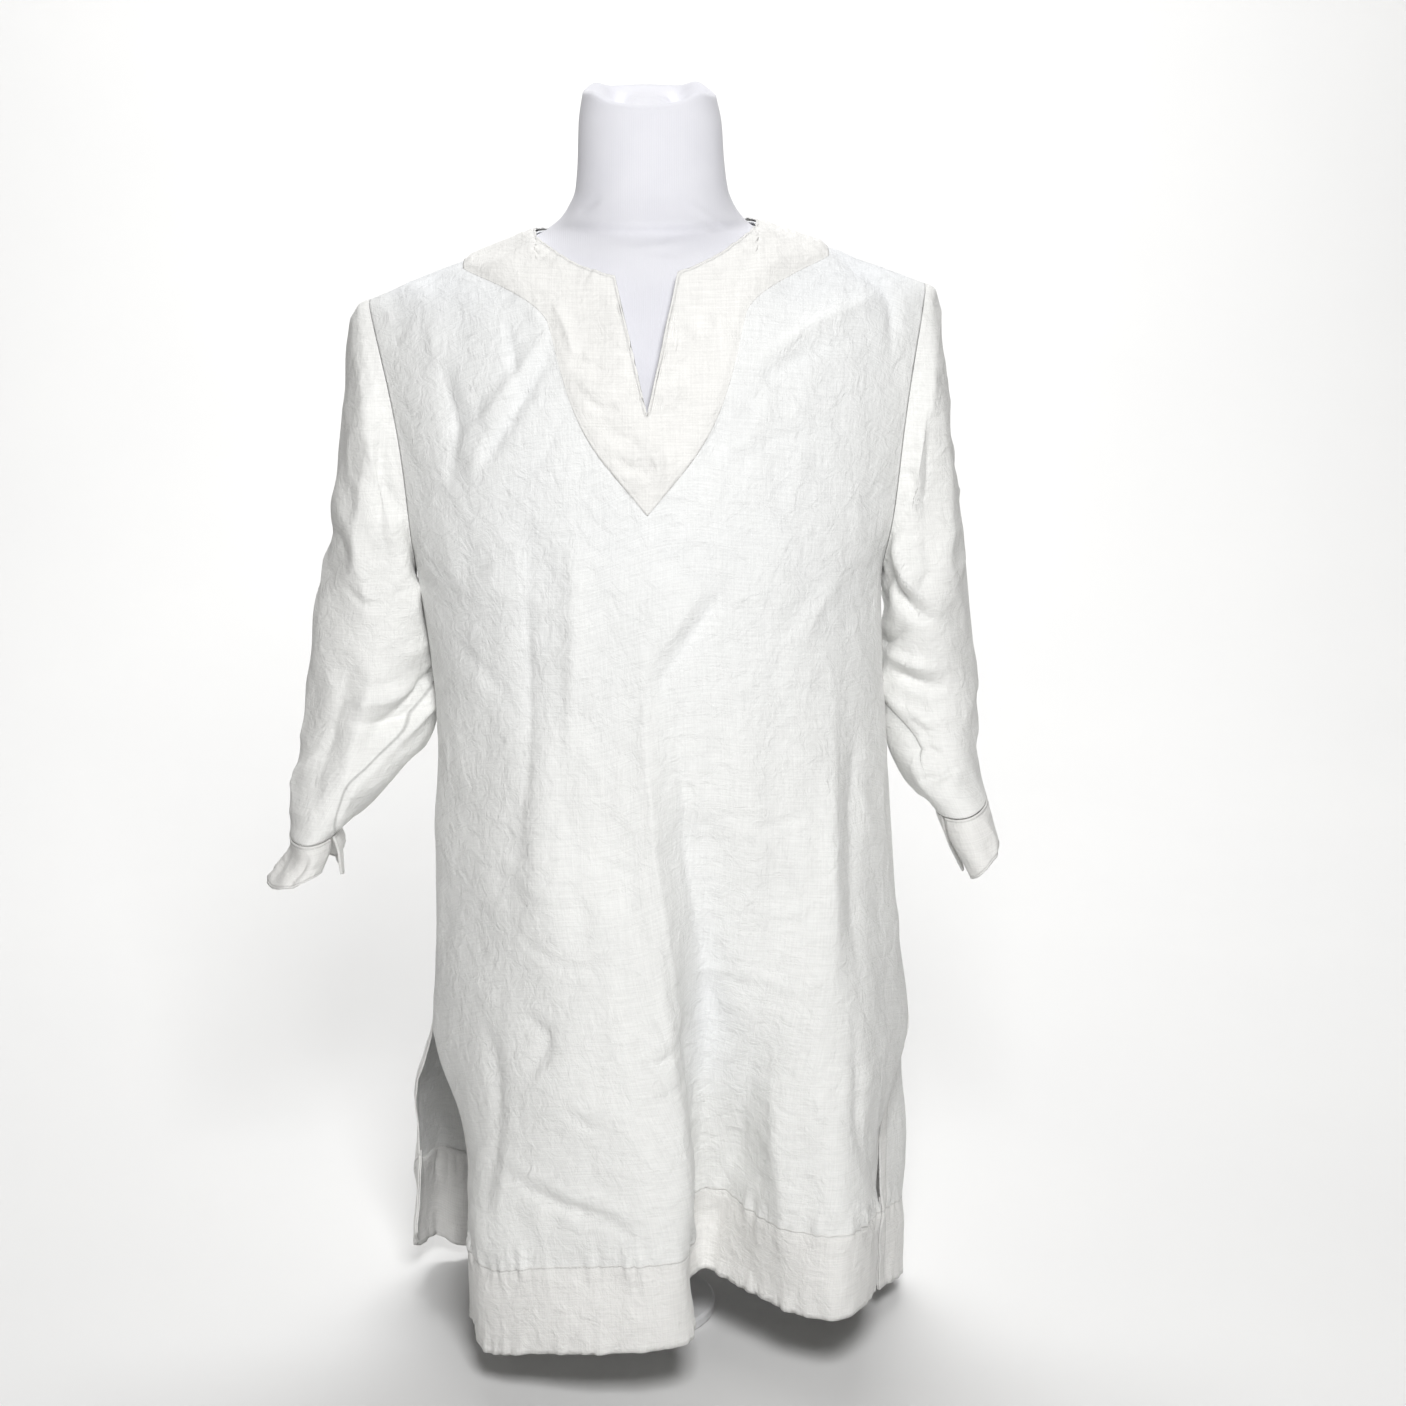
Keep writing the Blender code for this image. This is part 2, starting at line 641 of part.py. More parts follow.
def seat_reach(z, line):
    """Reach of the form's shoulder line at a height, just under the cloth."""
    drop = (PANEL_WALL + SEAM_GAP) * math.hypot(1, line["slope"]) + SEAT_CLEARANCE
    return NECK_POINT_REACH + (line["height"] - drop - z) / line["slope"]


def form_ring(row):
    z, left, right, front, back, roundness = row
    left = seat_reach(z, SHOULDER_LEFT) if left is None else left
    right = seat_reach(z, SHOULDER_RIGHT) if right is None else right
    points = []
    for k in range(FORM_SIDES):
        angle = 2 * math.pi * k / FORM_SIDES
        across, deep = math.cos(angle), math.sin(angle)
        x = across * (right if across > 0 else left)
        y = power(deep, 2 / roundness) * (back if deep > 0 else front)
        tilt = NECK_TILT * y * smooth((z - NECK_TILT_START_Z) / (FORM_RINGS[-1][0] - NECK_TILT_START_Z))
        points.append((MIDDLE_X + x, y, z + tilt))
    return points


def make_form():
    mesh = bpy.data.meshes.new("dress_form")
    shape = bmesh.new()
    rings = [form_ring(row) for row in FORM_RINGS]
    rim = rings[-1]
    centre = [sum(point[k] for point in rim) / len(rim) for k in range(3)]
    for share, sink in NECK_SINK:
        rings.append([tuple(mix(c, p, share) - (sink if k == 2 else 0)
                            for k, (c, p) in enumerate(zip(centre, point))) for point in rim])
    grid = [[shape.verts.new(point) for point in ring] for ring in rings]
    for lower, upper in zip(grid, grid[1:]):
        for k in range(FORM_SIDES):
            after = (k + 1) % FORM_SIDES
            shape.faces.new((lower[k], lower[after], upper[after], upper[k]))
    shape.faces.new(grid[0][::-1])
    shape.faces.new(grid[-1])
    shape.to_mesh(mesh)
    shape.free()
    add_object("dress_form", mesh, JERSEY, CLOTH_ROUGHNESS)


def make_turned(name, radius, bottom, top, edge, sides):
    """A round piece on the stand's axis: a profile turned by a Screw modifier."""
    profile = [(0, top), (radius - edge, top), (radius, top - edge), (radius, bottom + edge),
               (radius - edge, bottom), (0, bottom)]
    mesh = bpy.data.meshes.new(name)
    mesh.from_pydata([(x, 0, z) for x, z in profile], [(k, k + 1) for k in range(5)], [])
    piece = add_object(name, mesh, STAND_WHITE, STAND_ROUGHNESS)
    piece.location = (STAND_X, STAND_Y, 0)
    turn = piece.modifiers.new("turn", "SCREW")
    turn.steps = sides
    turn.render_steps = sides
    turn.use_merge_vertices = True
    turn.merge_threshold = 0.0001
    return piece


for old in list(bpy.data.objects):
    bpy.data.objects.remove(old, do_unlink=True)
parts = bpy.data.collections.new("tunic_top")
bpy.context.scene.collection.children.link(parts)

front_rows = make_panel("front_panel", -1)
back_rows = make_panel("back_panel", 1)
make_hem_facing("hem_facing_front", front_rows)
make_hem_facing("hem_facing_back", back_rows)
make_neck_facing("neck_facing_front", -1, front_rows)
make_neck_facing("neck_facing_back", 1, back_rows)
make_sleeve("sleeve_left", -1, SLEEVE_LEFT)
make_sleeve("sleeve_right", 1, SLEEVE_RIGHT)
make_cuff("cuff_left", -1, CUFF_LEFT)
make_cuff("cuff_right", 1, CUFF_RIGHT)
make_form()
pole_bottom, pole_top = BASE_THICKNESS + SEAM_GAP, FORM_RINGS[0][0] - SEAM_GAP
make_turned("stand_pole", POLE_RADIUS, pole_bottom, pole_top, POLE_EDGE, POLE_SIDES)
make_turned("stand_base", BASE_RADIUS, 0.0, BASE_THICKNESS, BASE_EDGE, BASE_SIDES)
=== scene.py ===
# %% [markdown]
# # A linen tunic top on a dress form
# The real thing is a loose tunic of thin undyed linen, worn by a limbless form under a jersey
# cover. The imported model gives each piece's true size and place. This script repeats the same
# named measures on a finer grid, adds the creases that cloth gets, and gives each finish.

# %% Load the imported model
import math

import bmesh
import bpy
import numpy as np
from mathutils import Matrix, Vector
from mathutils.bvhtree import BVHTree


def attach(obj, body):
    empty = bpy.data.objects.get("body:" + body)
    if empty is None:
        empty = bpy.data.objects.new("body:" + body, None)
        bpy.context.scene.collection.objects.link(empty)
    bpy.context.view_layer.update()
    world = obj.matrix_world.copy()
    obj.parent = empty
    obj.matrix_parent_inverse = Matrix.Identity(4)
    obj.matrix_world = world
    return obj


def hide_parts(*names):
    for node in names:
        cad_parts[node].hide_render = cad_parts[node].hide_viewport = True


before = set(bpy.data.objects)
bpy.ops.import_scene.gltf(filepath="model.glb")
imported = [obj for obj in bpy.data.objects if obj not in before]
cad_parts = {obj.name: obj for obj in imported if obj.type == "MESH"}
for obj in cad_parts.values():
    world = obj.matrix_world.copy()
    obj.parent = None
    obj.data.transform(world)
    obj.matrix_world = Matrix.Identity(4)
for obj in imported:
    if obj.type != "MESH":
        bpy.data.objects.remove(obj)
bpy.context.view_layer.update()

# %% [markdown]
# ## Camera
# The photograph looks slightly down on the tunic from its front. A real camera two or three
# arm's lengths away gives the same slight perspective, so the lens is a long one.

# %% Camera
CAMERA_PLACE = (0.0, -2.4, 1.118)
CAMERA_PITCH = math.radians(14.0)
CAMERA_TURN = math.atan(60 / 3158)
LENS = 80.86

camera_data = bpy.data.cameras.new("camera")
camera_data.lens = LENS
camera = bpy.data.objects.new("camera", camera_data)
camera.location = CAMERA_PLACE
camera.rotation_euler = (math.pi / 2 - CAMERA_PITCH, 0, -CAMERA_TURN)
bpy.context.scene.collection.objects.link(camera)
bpy.context.scene.camera = camera
print("camera at", CAMERA_PLACE, "lens", LENS)

# %% [markdown]
# ## Measures of the tunic
# A pattern maker works from a few measures: the shoulder line, the neckline, how wide the
# body is at each height, and how the hem waves when it hangs. The tables below hold them,
# and smooth curves are read between their rows.

# %% Measures of the body
PANEL_WALL = 0.0012
FACING_WALL = 0.0010
CUFF_WALL = 0.0020
SEAM_GAP = 0.0003
LAP_GAP = 0.0003
UNDERARM_Z = 0.628
CHEST_Z = 0.680
LOWER_Z = 0.300
NARROW_Z = 0.500
MIDDLE_X = 0.0025
ROLL_POWER = 2.5
SHOULDER_SPREAD = 1.5
ARMHOLE_ANGLE = math.radians(60)
NECK_POINT_REACH = 0.0835
SHOULDER_LEFT = {"height": 0.886, "slope": 0.40, "tip": 0.2095}
SHOULDER_RIGHT = {"height": 0.893, "slope": 0.36, "tip": 0.2115}
NECK_RISE = 0.25
NECK_FRONT_DROP = 0.028
NECK_BACK_DROP = 0.003
NOTCH_HALF_WIDTH = 0.0235
NOTCH_DEPTH = 0.095
BAND_END_REACH = 0.137
BIB_CORNER_REACH = 0.074
BIB_CORNER_Z = 0.821
BIB_TIP_Z = 0.692
BIB_STRAIGHT = 0.59
BIB_POWER = 6.0
BAND_ROUNDNESS = 0.45
BAND_END_HEIGHT = 0.003
BACK_BAND_Z = 0.832
BACK_BAND_RISE = 2.2

# Height, left and right reach, front and back depth, depth of the armhole edge
SECTIONS = [
    (0.000, 0.181, 0.212, 0.152, 0.130, 0.000),
    (0.260, 0.173, 0.208, 0.146, 0.122, 0.000),
    (0.340, 0.169, 0.198, 0.140, 0.116, 0.000),
    (0.420, 0.168, 0.192, 0.136, 0.110, 0.000),
    (0.500, 0.164, 0.186, 0.132, 0.105, 0.000),
    (0.560, 0.169, 0.183, 0.130, 0.103, 0.000),
    (0.628, 0.178, 0.181, 0.129, 0.103, 0.000),
    (0.654, 0.180, 0.185, 0.128, 0.103, 0.032),
    (0.680, 0.181, 0.189, 0.127, 0.102, 0.044),
]
# x, y and height of each hem from the left slit to the right one
FRONT_HEM = [
    (-0.140, -0.098, 0.046), (-0.127, -0.142, 0.038), (-0.083, -0.173, 0.050),
    (-0.036, -0.190, 0.058), (0.004, -0.196, 0.062), (0.032, -0.184, 0.063),
    (0.037, -0.150, 0.066), (0.032, -0.104, 0.072), (0.044, -0.078, 0.075),
    (0.075, -0.100, 0.069), (0.110, -0.137, 0.066), (0.147, -0.155, 0.067),
    (0.171, -0.128, 0.068), (0.184, -0.058, 0.057),
]
BACK_HEM = [
    (-0.190, 0.050, 0.054), (-0.191, 0.076, 0.022), (-0.165, 0.112, 0.012),
    (-0.118, 0.134, 0.010), (-0.066, 0.114, 0.013), (-0.008, 0.138, 0.010),
    (0.052, 0.116, 0.013), (0.108, 0.136, 0.010), (0.160, 0.116, 0.013),
    (0.196, 0.088, 0.016), (0.213, 0.040, 0.020), (0.190, -0.010, 0.026),
]
FOLD_START = {"middle": 0.600, "slit": 0.262}
FOLD_END_ACROSS = {"middle": 0.150, "slit": 0.165}
FOLD_END_DEEP = {"middle": 0.060, "slit": 0.130}
SLIT_INFLUENCE = (0.45, 0.94)
# Long soft folds: side, x and height of the top, x and height of the bottom, half width, rise
SOFT_FOLDS = [
    (-1, -0.085, 0.660, -0.112, 0.260, 0.030, 0.0060),
    (-1, -0.040, 0.560, -0.052, 0.180, 0.024, -0.0050),
    (-1, 0.070, 0.600, 0.090, 0.170, 0.030, 0.0050),
    (-1, 0.152, 0.560, 0.172, 0.140, 0.020, -0.0050),
    (1, -0.120, 0.640, -0.130, 0.120, 0.026, 0.0060),
    (1, -0.060, 0.700, -0.066, 0.140, 0.028, -0.0060),
    (1, 0.004, 0.620, -0.006, 0.120, 0.028, 0.0060),
    (1, 0.066, 0.700, 0.054, 0.140, 0.026, -0.0050),
    (1, 0.130, 0.640, 0.140, 0.120, 0.026, 0.0060),
]
print("body measures:", len(SECTIONS), "heights,", len(FRONT_HEM) + len(BACK_HEM), "hem points")


# %% Reading the tables
def smooth(t):
    """Ease from 0 to 1, for a number or an array."""
    t = np.clip(t, 0.0, 1.0)
    return t * t * (3.0 - 2.0 * t)


def mix(a, b, t):
    return a + (b - a) * t


def power(value, exponent):
    """A power that keeps the sign."""
    return math.copysign(abs(value) ** exponent, value)


def along(rows, key):
    """Read a table at a key between its rows, on a smooth curve that never overshoots."""
    keys = [row[0] for row in rows]
    key = min(max(key, keys[0]), keys[-1])
    last = len(rows) - 1
    i = max(k for k in range(last) if keys[k] <= key)
    step = keys[i + 1] - keys[i]
    t = (key - keys[i]) / step

    def slope(k, column):
        if k in (0, last):
            a, b = (0, 1) if k == 0 else (last - 1, last)
            return (rows[b][column] - rows[a][column]) / (keys[b] - keys[a])
        before = (rows[k][column] - rows[k - 1][column]) / (keys[k] - keys[k - 1])
        after = (rows[k + 1][column] - rows[k][column]) / (keys[k + 1] - keys[k])
        return 0.0 if before * after <= 0 else 2 * before * after / (before + after)

    ease = t * t * (3 - 2 * t)
    values = []
    for column in range(1, len(rows[0])):
        a, b = rows[i][column], rows[i + 1][column]
        bend_a, bend_b = slope(i, column) * step, slope(i + 1, column) * step
        values.append(mix(a, b, ease) + bend_a * t * (1 - t) ** 2 - bend_b * t * t * (1 - t))
    return values


def spline(points, share):
    """Point at a share of the length of a smooth line through points."""
    lengths = [0.0]
    for a, b in zip(points, points[1:]):
        lengths.append(lengths[-1] + math.dist(a[:2], b[:2]))
    rows = [(length / lengths[-1], *point) for length, point in zip(lengths, points)]
    rows = [(-0.02, *extend(points[1], points[0])), *rows, (1.02, *extend(points[-2], points[-1]))]
    keys = [row[0] for row in rows]
    key = min(max(share, 0.0), 1.0)
    i = min(max(k for k in range(len(rows)) if keys[k] <= key), len(rows) - 3)
    i = max(i, 1)
    step = keys[i + 1] - keys[i]
    t = (key - keys[i]) / step
    ease = t * t * (3 - 2 * t)
    values = []
    for column in range(1, len(rows[0])):
        a, b = rows[i][column], rows[i + 1][column]
        bend_a = (b - rows[i - 1][column]) / (keys[i + 1] - keys[i - 1]) * step
        bend_b = (rows[i + 2][column] - a) / (keys[i + 2] - keys[i]) * step
        values.append(mix(a, b, ease) + bend_a * t * (1 - t) ** 2 - bend_b * t * t * (1 - t))
    return values


def extend(a, b):
    """A point a little way past b on the line from a."""
    return tuple(mix(p, q, 1.15) for p, q in zip(a, b))


# %% [markdown]
# ## The body panels
# Front and back are two flat panels sewn at the shoulders and sides. Worn, each wraps half
# round the form, rolls over at the shoulders, and waves at the hem. Draping them by
# simulation would lose the folds that show in the photograph, so each point is worked out
# from the column it lies on (side seam to side seam) and its height.

# %% Points of the panels
def shoulder(u):
    return SHOULDER_RIGHT if u > 0 else SHOULDER_LEFT


def section_share(u, angle):
    """How far across its side a column lies, from -1 to 1."""
    return math.sin(u * angle) / math.sin(angle)


def column_reach(u):
    return abs(section_share(u, ARMHOLE_ANGLE)) * shoulder(u)["tip"]


def column_at(reach, sign):
    """The column that meets the shoulder level at a distance from the middle."""
    share = reach / shoulder(sign)["tip"] * math.sin(ARMHOLE_ANGLE)
    return math.copysign(math.asin(share) / ARMHOLE_ANGLE, sign)


def neck_height(u):
    across = math.copysign(column_reach(u), u) / NECK_POINT_REACH
    return mix(SHOULDER_LEFT["height"], SHOULDER_RIGHT["height"], float(smooth((across + 1) / 2)))


def ridge_height(u):
    """Height of the shoulder line above a column."""
    past_neck = column_reach(u) - NECK_POINT_REACH
    slope = NECK_RISE if past_neck < 0 else shoulder(u)["slope"]
    return neck_height(u) - slope * past_neck


def plain_point(side, u, z):
    """Point of the tunic before its folds, at a height up to the chest."""
    left, right, front, back, edge = along(SECTIONS, z)
    ease = float(smooth((z - UNDERARM_Z) / (CHEST_Z - UNDERARM_Z)))
    angle = mix(math.pi / 2, ARMHOLE_ANGLE, ease)
    x = MIDDLE_X + section_share(u, angle) * (right if u > 0 else left)
    depth = front if side < 0 else back
    edge = max(edge, SEAM_GAP / 2)
    fall = (1 - math.cos(u * angle)) / (1 - max(math.cos(angle), 0.0))
    return x, side * (depth - (depth - edge) * fall)


def build_arc_table(side, count=40):
    """Share of the cloth's width passed at each column."""
    points = [plain_point(side, -1 + 2 * k / count, NARROW_Z) for k in range(count + 1)]
    lengths = [0.0]
    for a, b in zip(points, points[1:]):
        lengths.append(lengths[-1] + math.dist(a, b))
    return [(-1 + 2 * k / count, length / lengths[-1]) for k, length in enumerate(lengths)]


WIDTH_SHARE = {side: build_arc_table(side) for side in (-1, 1)}


def fold_rise(side, x, z):
    """How far the long soft folds lift the cloth off its plain form."""
    rise = 0.0
    for fold_side, top_x, top_z, low_x, low_z, half_width, height in SOFT_FOLDS:
        t = (top_z - z) / (top_z - low_z)
        if fold_side != side or not 0.0 < t < 1.0:
            continue
        across = (x - mix(top_x, low_x, t)) / half_width
        if abs(across) < 1.0:
            rise += height * math.sin(math.pi * t) * math.cos(across * math.pi / 2) ** 2
    return rise


def body_point(side, u, z, hem):
    """Point of a panel at a height up to the chest, long folds included."""
    x, y = plain_point(side, u, z)
    edge = float(smooth((abs(u) - SLIT_INFLUENCE[0]) / (SLIT_INFLUENCE[1] - SLIT_INFLUENCE[0])))
    top = mix(FOLD_START["middle"], FOLD_START["slit"], edge)
    across_end = mix(FOLD_END_ACROSS["middle"], FOLD_END_ACROSS["slit"], edge)
    deep_end = mix(FOLD_END_DEEP["middle"], FOLD_END_DEEP["slit"], edge)
    across = float(smooth((top - z) / (top - across_end)))
    deep = float(smooth((top - z) / (top - deep_end)))
    lift = fold_rise(side, x, z) * (1 - edge)
    return mix(x, hem[0], across), mix(y, hem[1], deep) + side * lift, z


def roll_point(side, u, phi):
    """Point of a panel between the chest and the shoulder line."""
    x0, y0 = plain_point(side, u, CHEST_Z)
    climb = math.sin(phi) ** (2 / ROLL_POWER)
    x1 = MIDDLE_X + math.copysign(column_reach(u), u)
    back_off = max(math.cos(phi), 0.0) ** (2 / ROLL_POWER)
    x = mix(x0, x1, climb ** SHOULDER_SPREAD)
    y = side * mix(SEAM_GAP / 2, abs(y0), back_off)
    return x, y, mix(CHEST_Z, ridge_height(u), climb)


def phi_at(u, z):
    """Roll angle at which a column reaches a height."""
    rise = (z - CHEST_Z) / (ridge_height(u) - CHEST_Z)
    return math.asin(min(max(rise, 0.0), 1.0) ** (ROLL_POWER / 2))


def column_top(side, u):
    """Roll angle of the column's top: the shoulder seam, the neckline or the notch."""
    reach = column_reach(u)
    if reach >= NECK_POINT_REACH - 1e-6:
        return math.pi / 2
    drop = NECK_FRONT_DROP if side < 0 else NECK_BACK_DROP
    height = neck_height(u) - drop * (1 - (reach / NECK_POINT_REACH) ** 2)
    if side < 0 and reach < NOTCH_HALF_WIDTH:
        height -= NOTCH_DEPTH * (1 - reach / NOTCH_HALF_WIDTH)
    return phi_at(u, height)


def facing_bottom(side, u):
    """Height of the neck facing's outer edge on a column."""
    reach = column_reach(u)
    seam = ridge_height(column_at(BAND_END_REACH, u)) - BAND_END_HEIGHT
    corner = BIB_CORNER_Z + neck_height(u) - SHOULDER_LEFT["height"]
    if side > 0:
        return mix(BACK_BAND_Z, seam, (reach / BAND_END_REACH) ** BACK_BAND_RISE)
    if reach <= BIB_CORNER_REACH:
        share = reach / BIB_CORNER_REACH
        return mix(BIB_TIP_Z, corner, mix(share ** BIB_POWER, share, BIB_STRAIGHT))
    t = (reach - BIB_CORNER_REACH) / (BAND_END_REACH - BIB_CORNER_REACH)
    return mix(corner, seam, t ** BAND_ROUNDNESS)


def facing_line(side, u):
    """Roll angle of the facing's outer edge; past the facing it runs on to the armhole."""
    u = column_at(min(column_reach(u), BAND_END_REACH), u)
    return phi_at(u, facing_bottom(side, u))


# %% [markdown]
# ## A grid fine enough for creases
# A crease in thin linen is about a finger wide, so the cloth needs a point every three or four
# millimetres. The columns still meet the notch and the corners of the facing, so that those
# edges stay sharp.

# %% Grids of the panels
COLUMN_MARKS = (NOTCH_HALF_WIDTH, BIB_CORNER_REACH, NECK_POINT_REACH, BAND_END_REACH)
COLUMN_COUNTS = (8, 17, 4, 19, 37)
LOWER_ROWS = 64
HEM_ROWS = 19
WAIST_ROWS = 86
CHEST_ROWS = 14
BELOW_FACING_ROWS = 50
UNDER_FACING_ROWS = 26


def columns():
    found = [0.0]
    for sign in (-1, 1):
        marks = [column_at(reach, sign) for reach in COLUMN_MARKS] + [sign]
        for a, b, count in zip([0.0] + marks, marks, COLUMN_COUNTS):
            found += [mix(a, b, (k + 1) / count) for k in range(count)]
    return sorted(found)


def column_points(side, u):
    """All points of one column, from the hem up."""
    hem = spline(FRONT_HEM if side < 0 else BACK_HEM, along(WIDTH_SHARE[side], u)[0])
    heights = [mix(hem[2], LOWER_Z, k / LOWER_ROWS) for k in range(LOWER_ROWS)]
    heights += [mix(LOWER_Z, UNDERARM_Z, k / WAIST_ROWS) for k in range(WAIST_ROWS)]
    heights += [mix(UNDERARM_Z, CHEST_Z, k / CHEST_ROWS) for k in range(CHEST_ROWS + 1)]
    points = [body_point(side, u, z, hem) for z in heights]
    line, top = facing_line(side, u), column_top(side, u)
    angles = [line * (k + 1) / BELOW_FACING_ROWS for k in range(BELOW_FACING_ROWS)]
    angles += [mix(line, top, (k + 1) / UNDER_FACING_ROWS) for k in range(UNDER_FACING_ROWS)]
    return points + [roll_point(side, u, angle) for angle in angles]


def soften(grid, middle, reach, passes):
    """Even out the turn that each column makes near one row."""
    grid = grid.copy()
    rows = np.arange(len(grid))
    share = smooth(1 - np.abs(rows - middle) / reach)[:, None, None]
    for _ in range(passes):
        evened = grid.copy()
        evened[1:-1] = (grid[:-2] + 2 * grid[1:-1] + grid[2:]) / 4
        grid = mix(grid, evened, share)
    return grid


COLUMNS = columns()
FACING_ROW = LOWER_ROWS + WAIST_ROWS + CHEST_ROWS + BELOW_FACING_ROWS
UNDERARM_ROW = LOWER_ROWS + WAIST_ROWS
plain = {}
for side in (-1, 1):
    grid = np.array([column_points(side, u) for u in COLUMNS]).transpose(1, 0, 2)
    grid = soften(grid, UNDERARM_ROW + CHEST_ROWS, 22, 60)
    plain[side] = grid if side < 0 else grid[:, ::-1]
print("panel grid", plain[-1].shape[:2])

# %% [markdown]
# ## Creases
# Linen keeps every fold it has had. The main ones are listed as lines on the panel
# with a half width and a rise: above zero a soft ridge, below zero a trough. Between them the
# cloth is never flat, so short random crumples and a slow swell are added with a fixed seed.

# %% Tools for creases
CRUMPLES_PER_AREA = 280


def arc_lengths(grid, axis):
    """Distance along rows or columns of a grid, from its first point."""
    steps = np.linalg.norm(np.diff(grid, axis=axis), axis=2)
    start = np.zeros((1, grid.shape[1]) if axis == 0 else (grid.shape[0], 1))
    return np.concatenate([start, np.cumsum(steps, axis=axis)], axis=axis)


def grid_normals(grid, closed=False):
    padded = np.concatenate([grid[:, -1:], grid, grid[:, :1]], axis=1) if closed else grid
    across, up = np.gradient(padded, axis=1), np.gradient(padded, axis=0)
    normal = np.cross(across, up)
    normal /= np.maximum(np.linalg.norm(normal, axis=2, keepdims=True), 1e-9)
    return normal[:, 1:-1] if closed else normal


def cloth_area(grid):
    a, b = grid[1:, 1:] - grid[:-1, :-1], grid[1:, :-1] - grid[:-1, 1:]
    return float(np.linalg.norm(np.cross(a, b), axis=2).sum() / 2)


def smooth_line(points, parts=6):
    """Points along a curve through a few points."""
    p = np.array(points, float)
    p = np.vstack([2 * p[0] - p[1], p, 2 * p[-1] - p[-2]])
    line = []
    for k in range(1, len(p) - 2):
        for t in np.arange(parts) / parts:
            line.append(0.5 * (2 * p[k] + (p[k + 1] - p[k - 1]) * t
                               + (2 * p[k - 1] - 5 * p[k] + 4 * p[k + 1] - p[k + 2]) * t ** 2
                               + (3 * p[k] - p[k - 1] - 3 * p[k + 1] + p[k + 2]) * t ** 3))
    return np.array(line + [p[-2]])


def line_distance(places, line):
    """Distance of places from a line, and the share of the line passed there."""
    near = np.full(len(places), 1e9)
    passed = np.zeros(len(places))
    for k, (p, q) in enumerate(zip(line[:-1], line[1:])):
        d = q - p
        t = np.clip((places - p) @ d / max(d @ d, 1e-12), 0, 1)
        far = np.linalg.norm(places - p - t[:, None] * d, axis=1)
        closer = far < near
        near = np.where(closer, far, near)
        passed = np.where(closer, (k + t) / (len(line) - 1), passed)
    return near, passed


def signed_distance(places, line):
    """Distance of places from a line, with its sign from the side they lie on."""
    near, passed = line_distance(places, line)
    part = np.clip((passed * (len(line) - 1)).astype(int), 0, len(line) - 2)
    along_line, off = line[part + 1] - line[part], places - line[part]
    return near * np.sign(along_line[:, 0] * off[:, 1] - along_line[:, 1] * off[:, 0])


def crease_field(places, creases):
    """Rise of the cloth at places: each crease has its points, half width and rise."""
    rise = np.zeros(places.shape[:-1])
    for points, half_width, height in creases:
        line = smooth_line(points)
        box = ((places > line.min(0) - half_width) & (places < line.max(0) + half_width)).all(-1)
        if not box.any():
            continue
        near, passed = line_distance(places[box], line)
        ends = np.sin(np.pi * np.clip(passed, 0.02, 0.98)) ** 0.7
        rise[box] += height * ends * np.clip(1 - near / half_width, 0, 1) ** 1.7
    return rise


def swell(places, length, seed, waves=14):
    """Slow random waves of about one length over places, from about -1 to 1."""
    draw = np.random.default_rng(seed)
    total = 0.0
    for _ in range(waves):
        turn = draw.normal(size=places.shape[-1])
        pace = 2 * np.pi / (length * draw.uniform(0.7, 1.5) * np.linalg.norm(turn))
        total = total + np.cos(pace * (places @ turn) + draw.uniform(0, 2 * np.pi))
    return total / math.sqrt(waves)


def crumples(draw, grid, height):
    """Short bent creases in random directions at random places of the cloth."""
    normals = grid_normals(grid)
    count = int(cloth_area(grid) * CRUMPLES_PER_AREA)
    found = []
    for _ in range(count):
        i, j = draw.integers(len(grid)), draw.integers(grid.shape[1])
        level = np.cross(normals[i, j], (0, 0, 1))
        level /= max(np.linalg.norm(level), 1e-6)
        steep = np.cross(level, normals[i, j])
        turn = draw.choice([draw.normal(0.0, 0.35), draw.normal(0.9, 0.4), draw.normal(-0.9, 0.4)])
        step = (math.cos(turn) * level + math.sin(turn) * steep) * draw.uniform(0.010, 0.036)
        bend = np.cross(normals[i, j], step) * draw.normal(0, 0.3)
        size = draw.uniform(0.35, 1.0) * height * draw.choice([-1, 1])
        middle = grid[i, j]
        found.append(([middle - step, middle + bend, middle + step], draw.uniform(0.007, 0.015), size))
    return found


def crumpled(grid, seed, height):
    """Random relief of one cloth: crumples, a slow swell and sharp-edged facets."""
    draw = np.random.default_rng(seed)
    rise = crease_field(grid, crumples(draw, grid, height))
    rise += height * 0.9 * swell(grid, 0.085, seed + 1)
    facets = np.sqrt(swell(grid, 0.055, seed + 2) ** 2 + 0.02) - 0.6
    patches = 0.6 + 0.4 * np.clip(swell(grid, 0.12, seed + 4), -1, 1)
    return rise - height * 1.3 * facets * patches


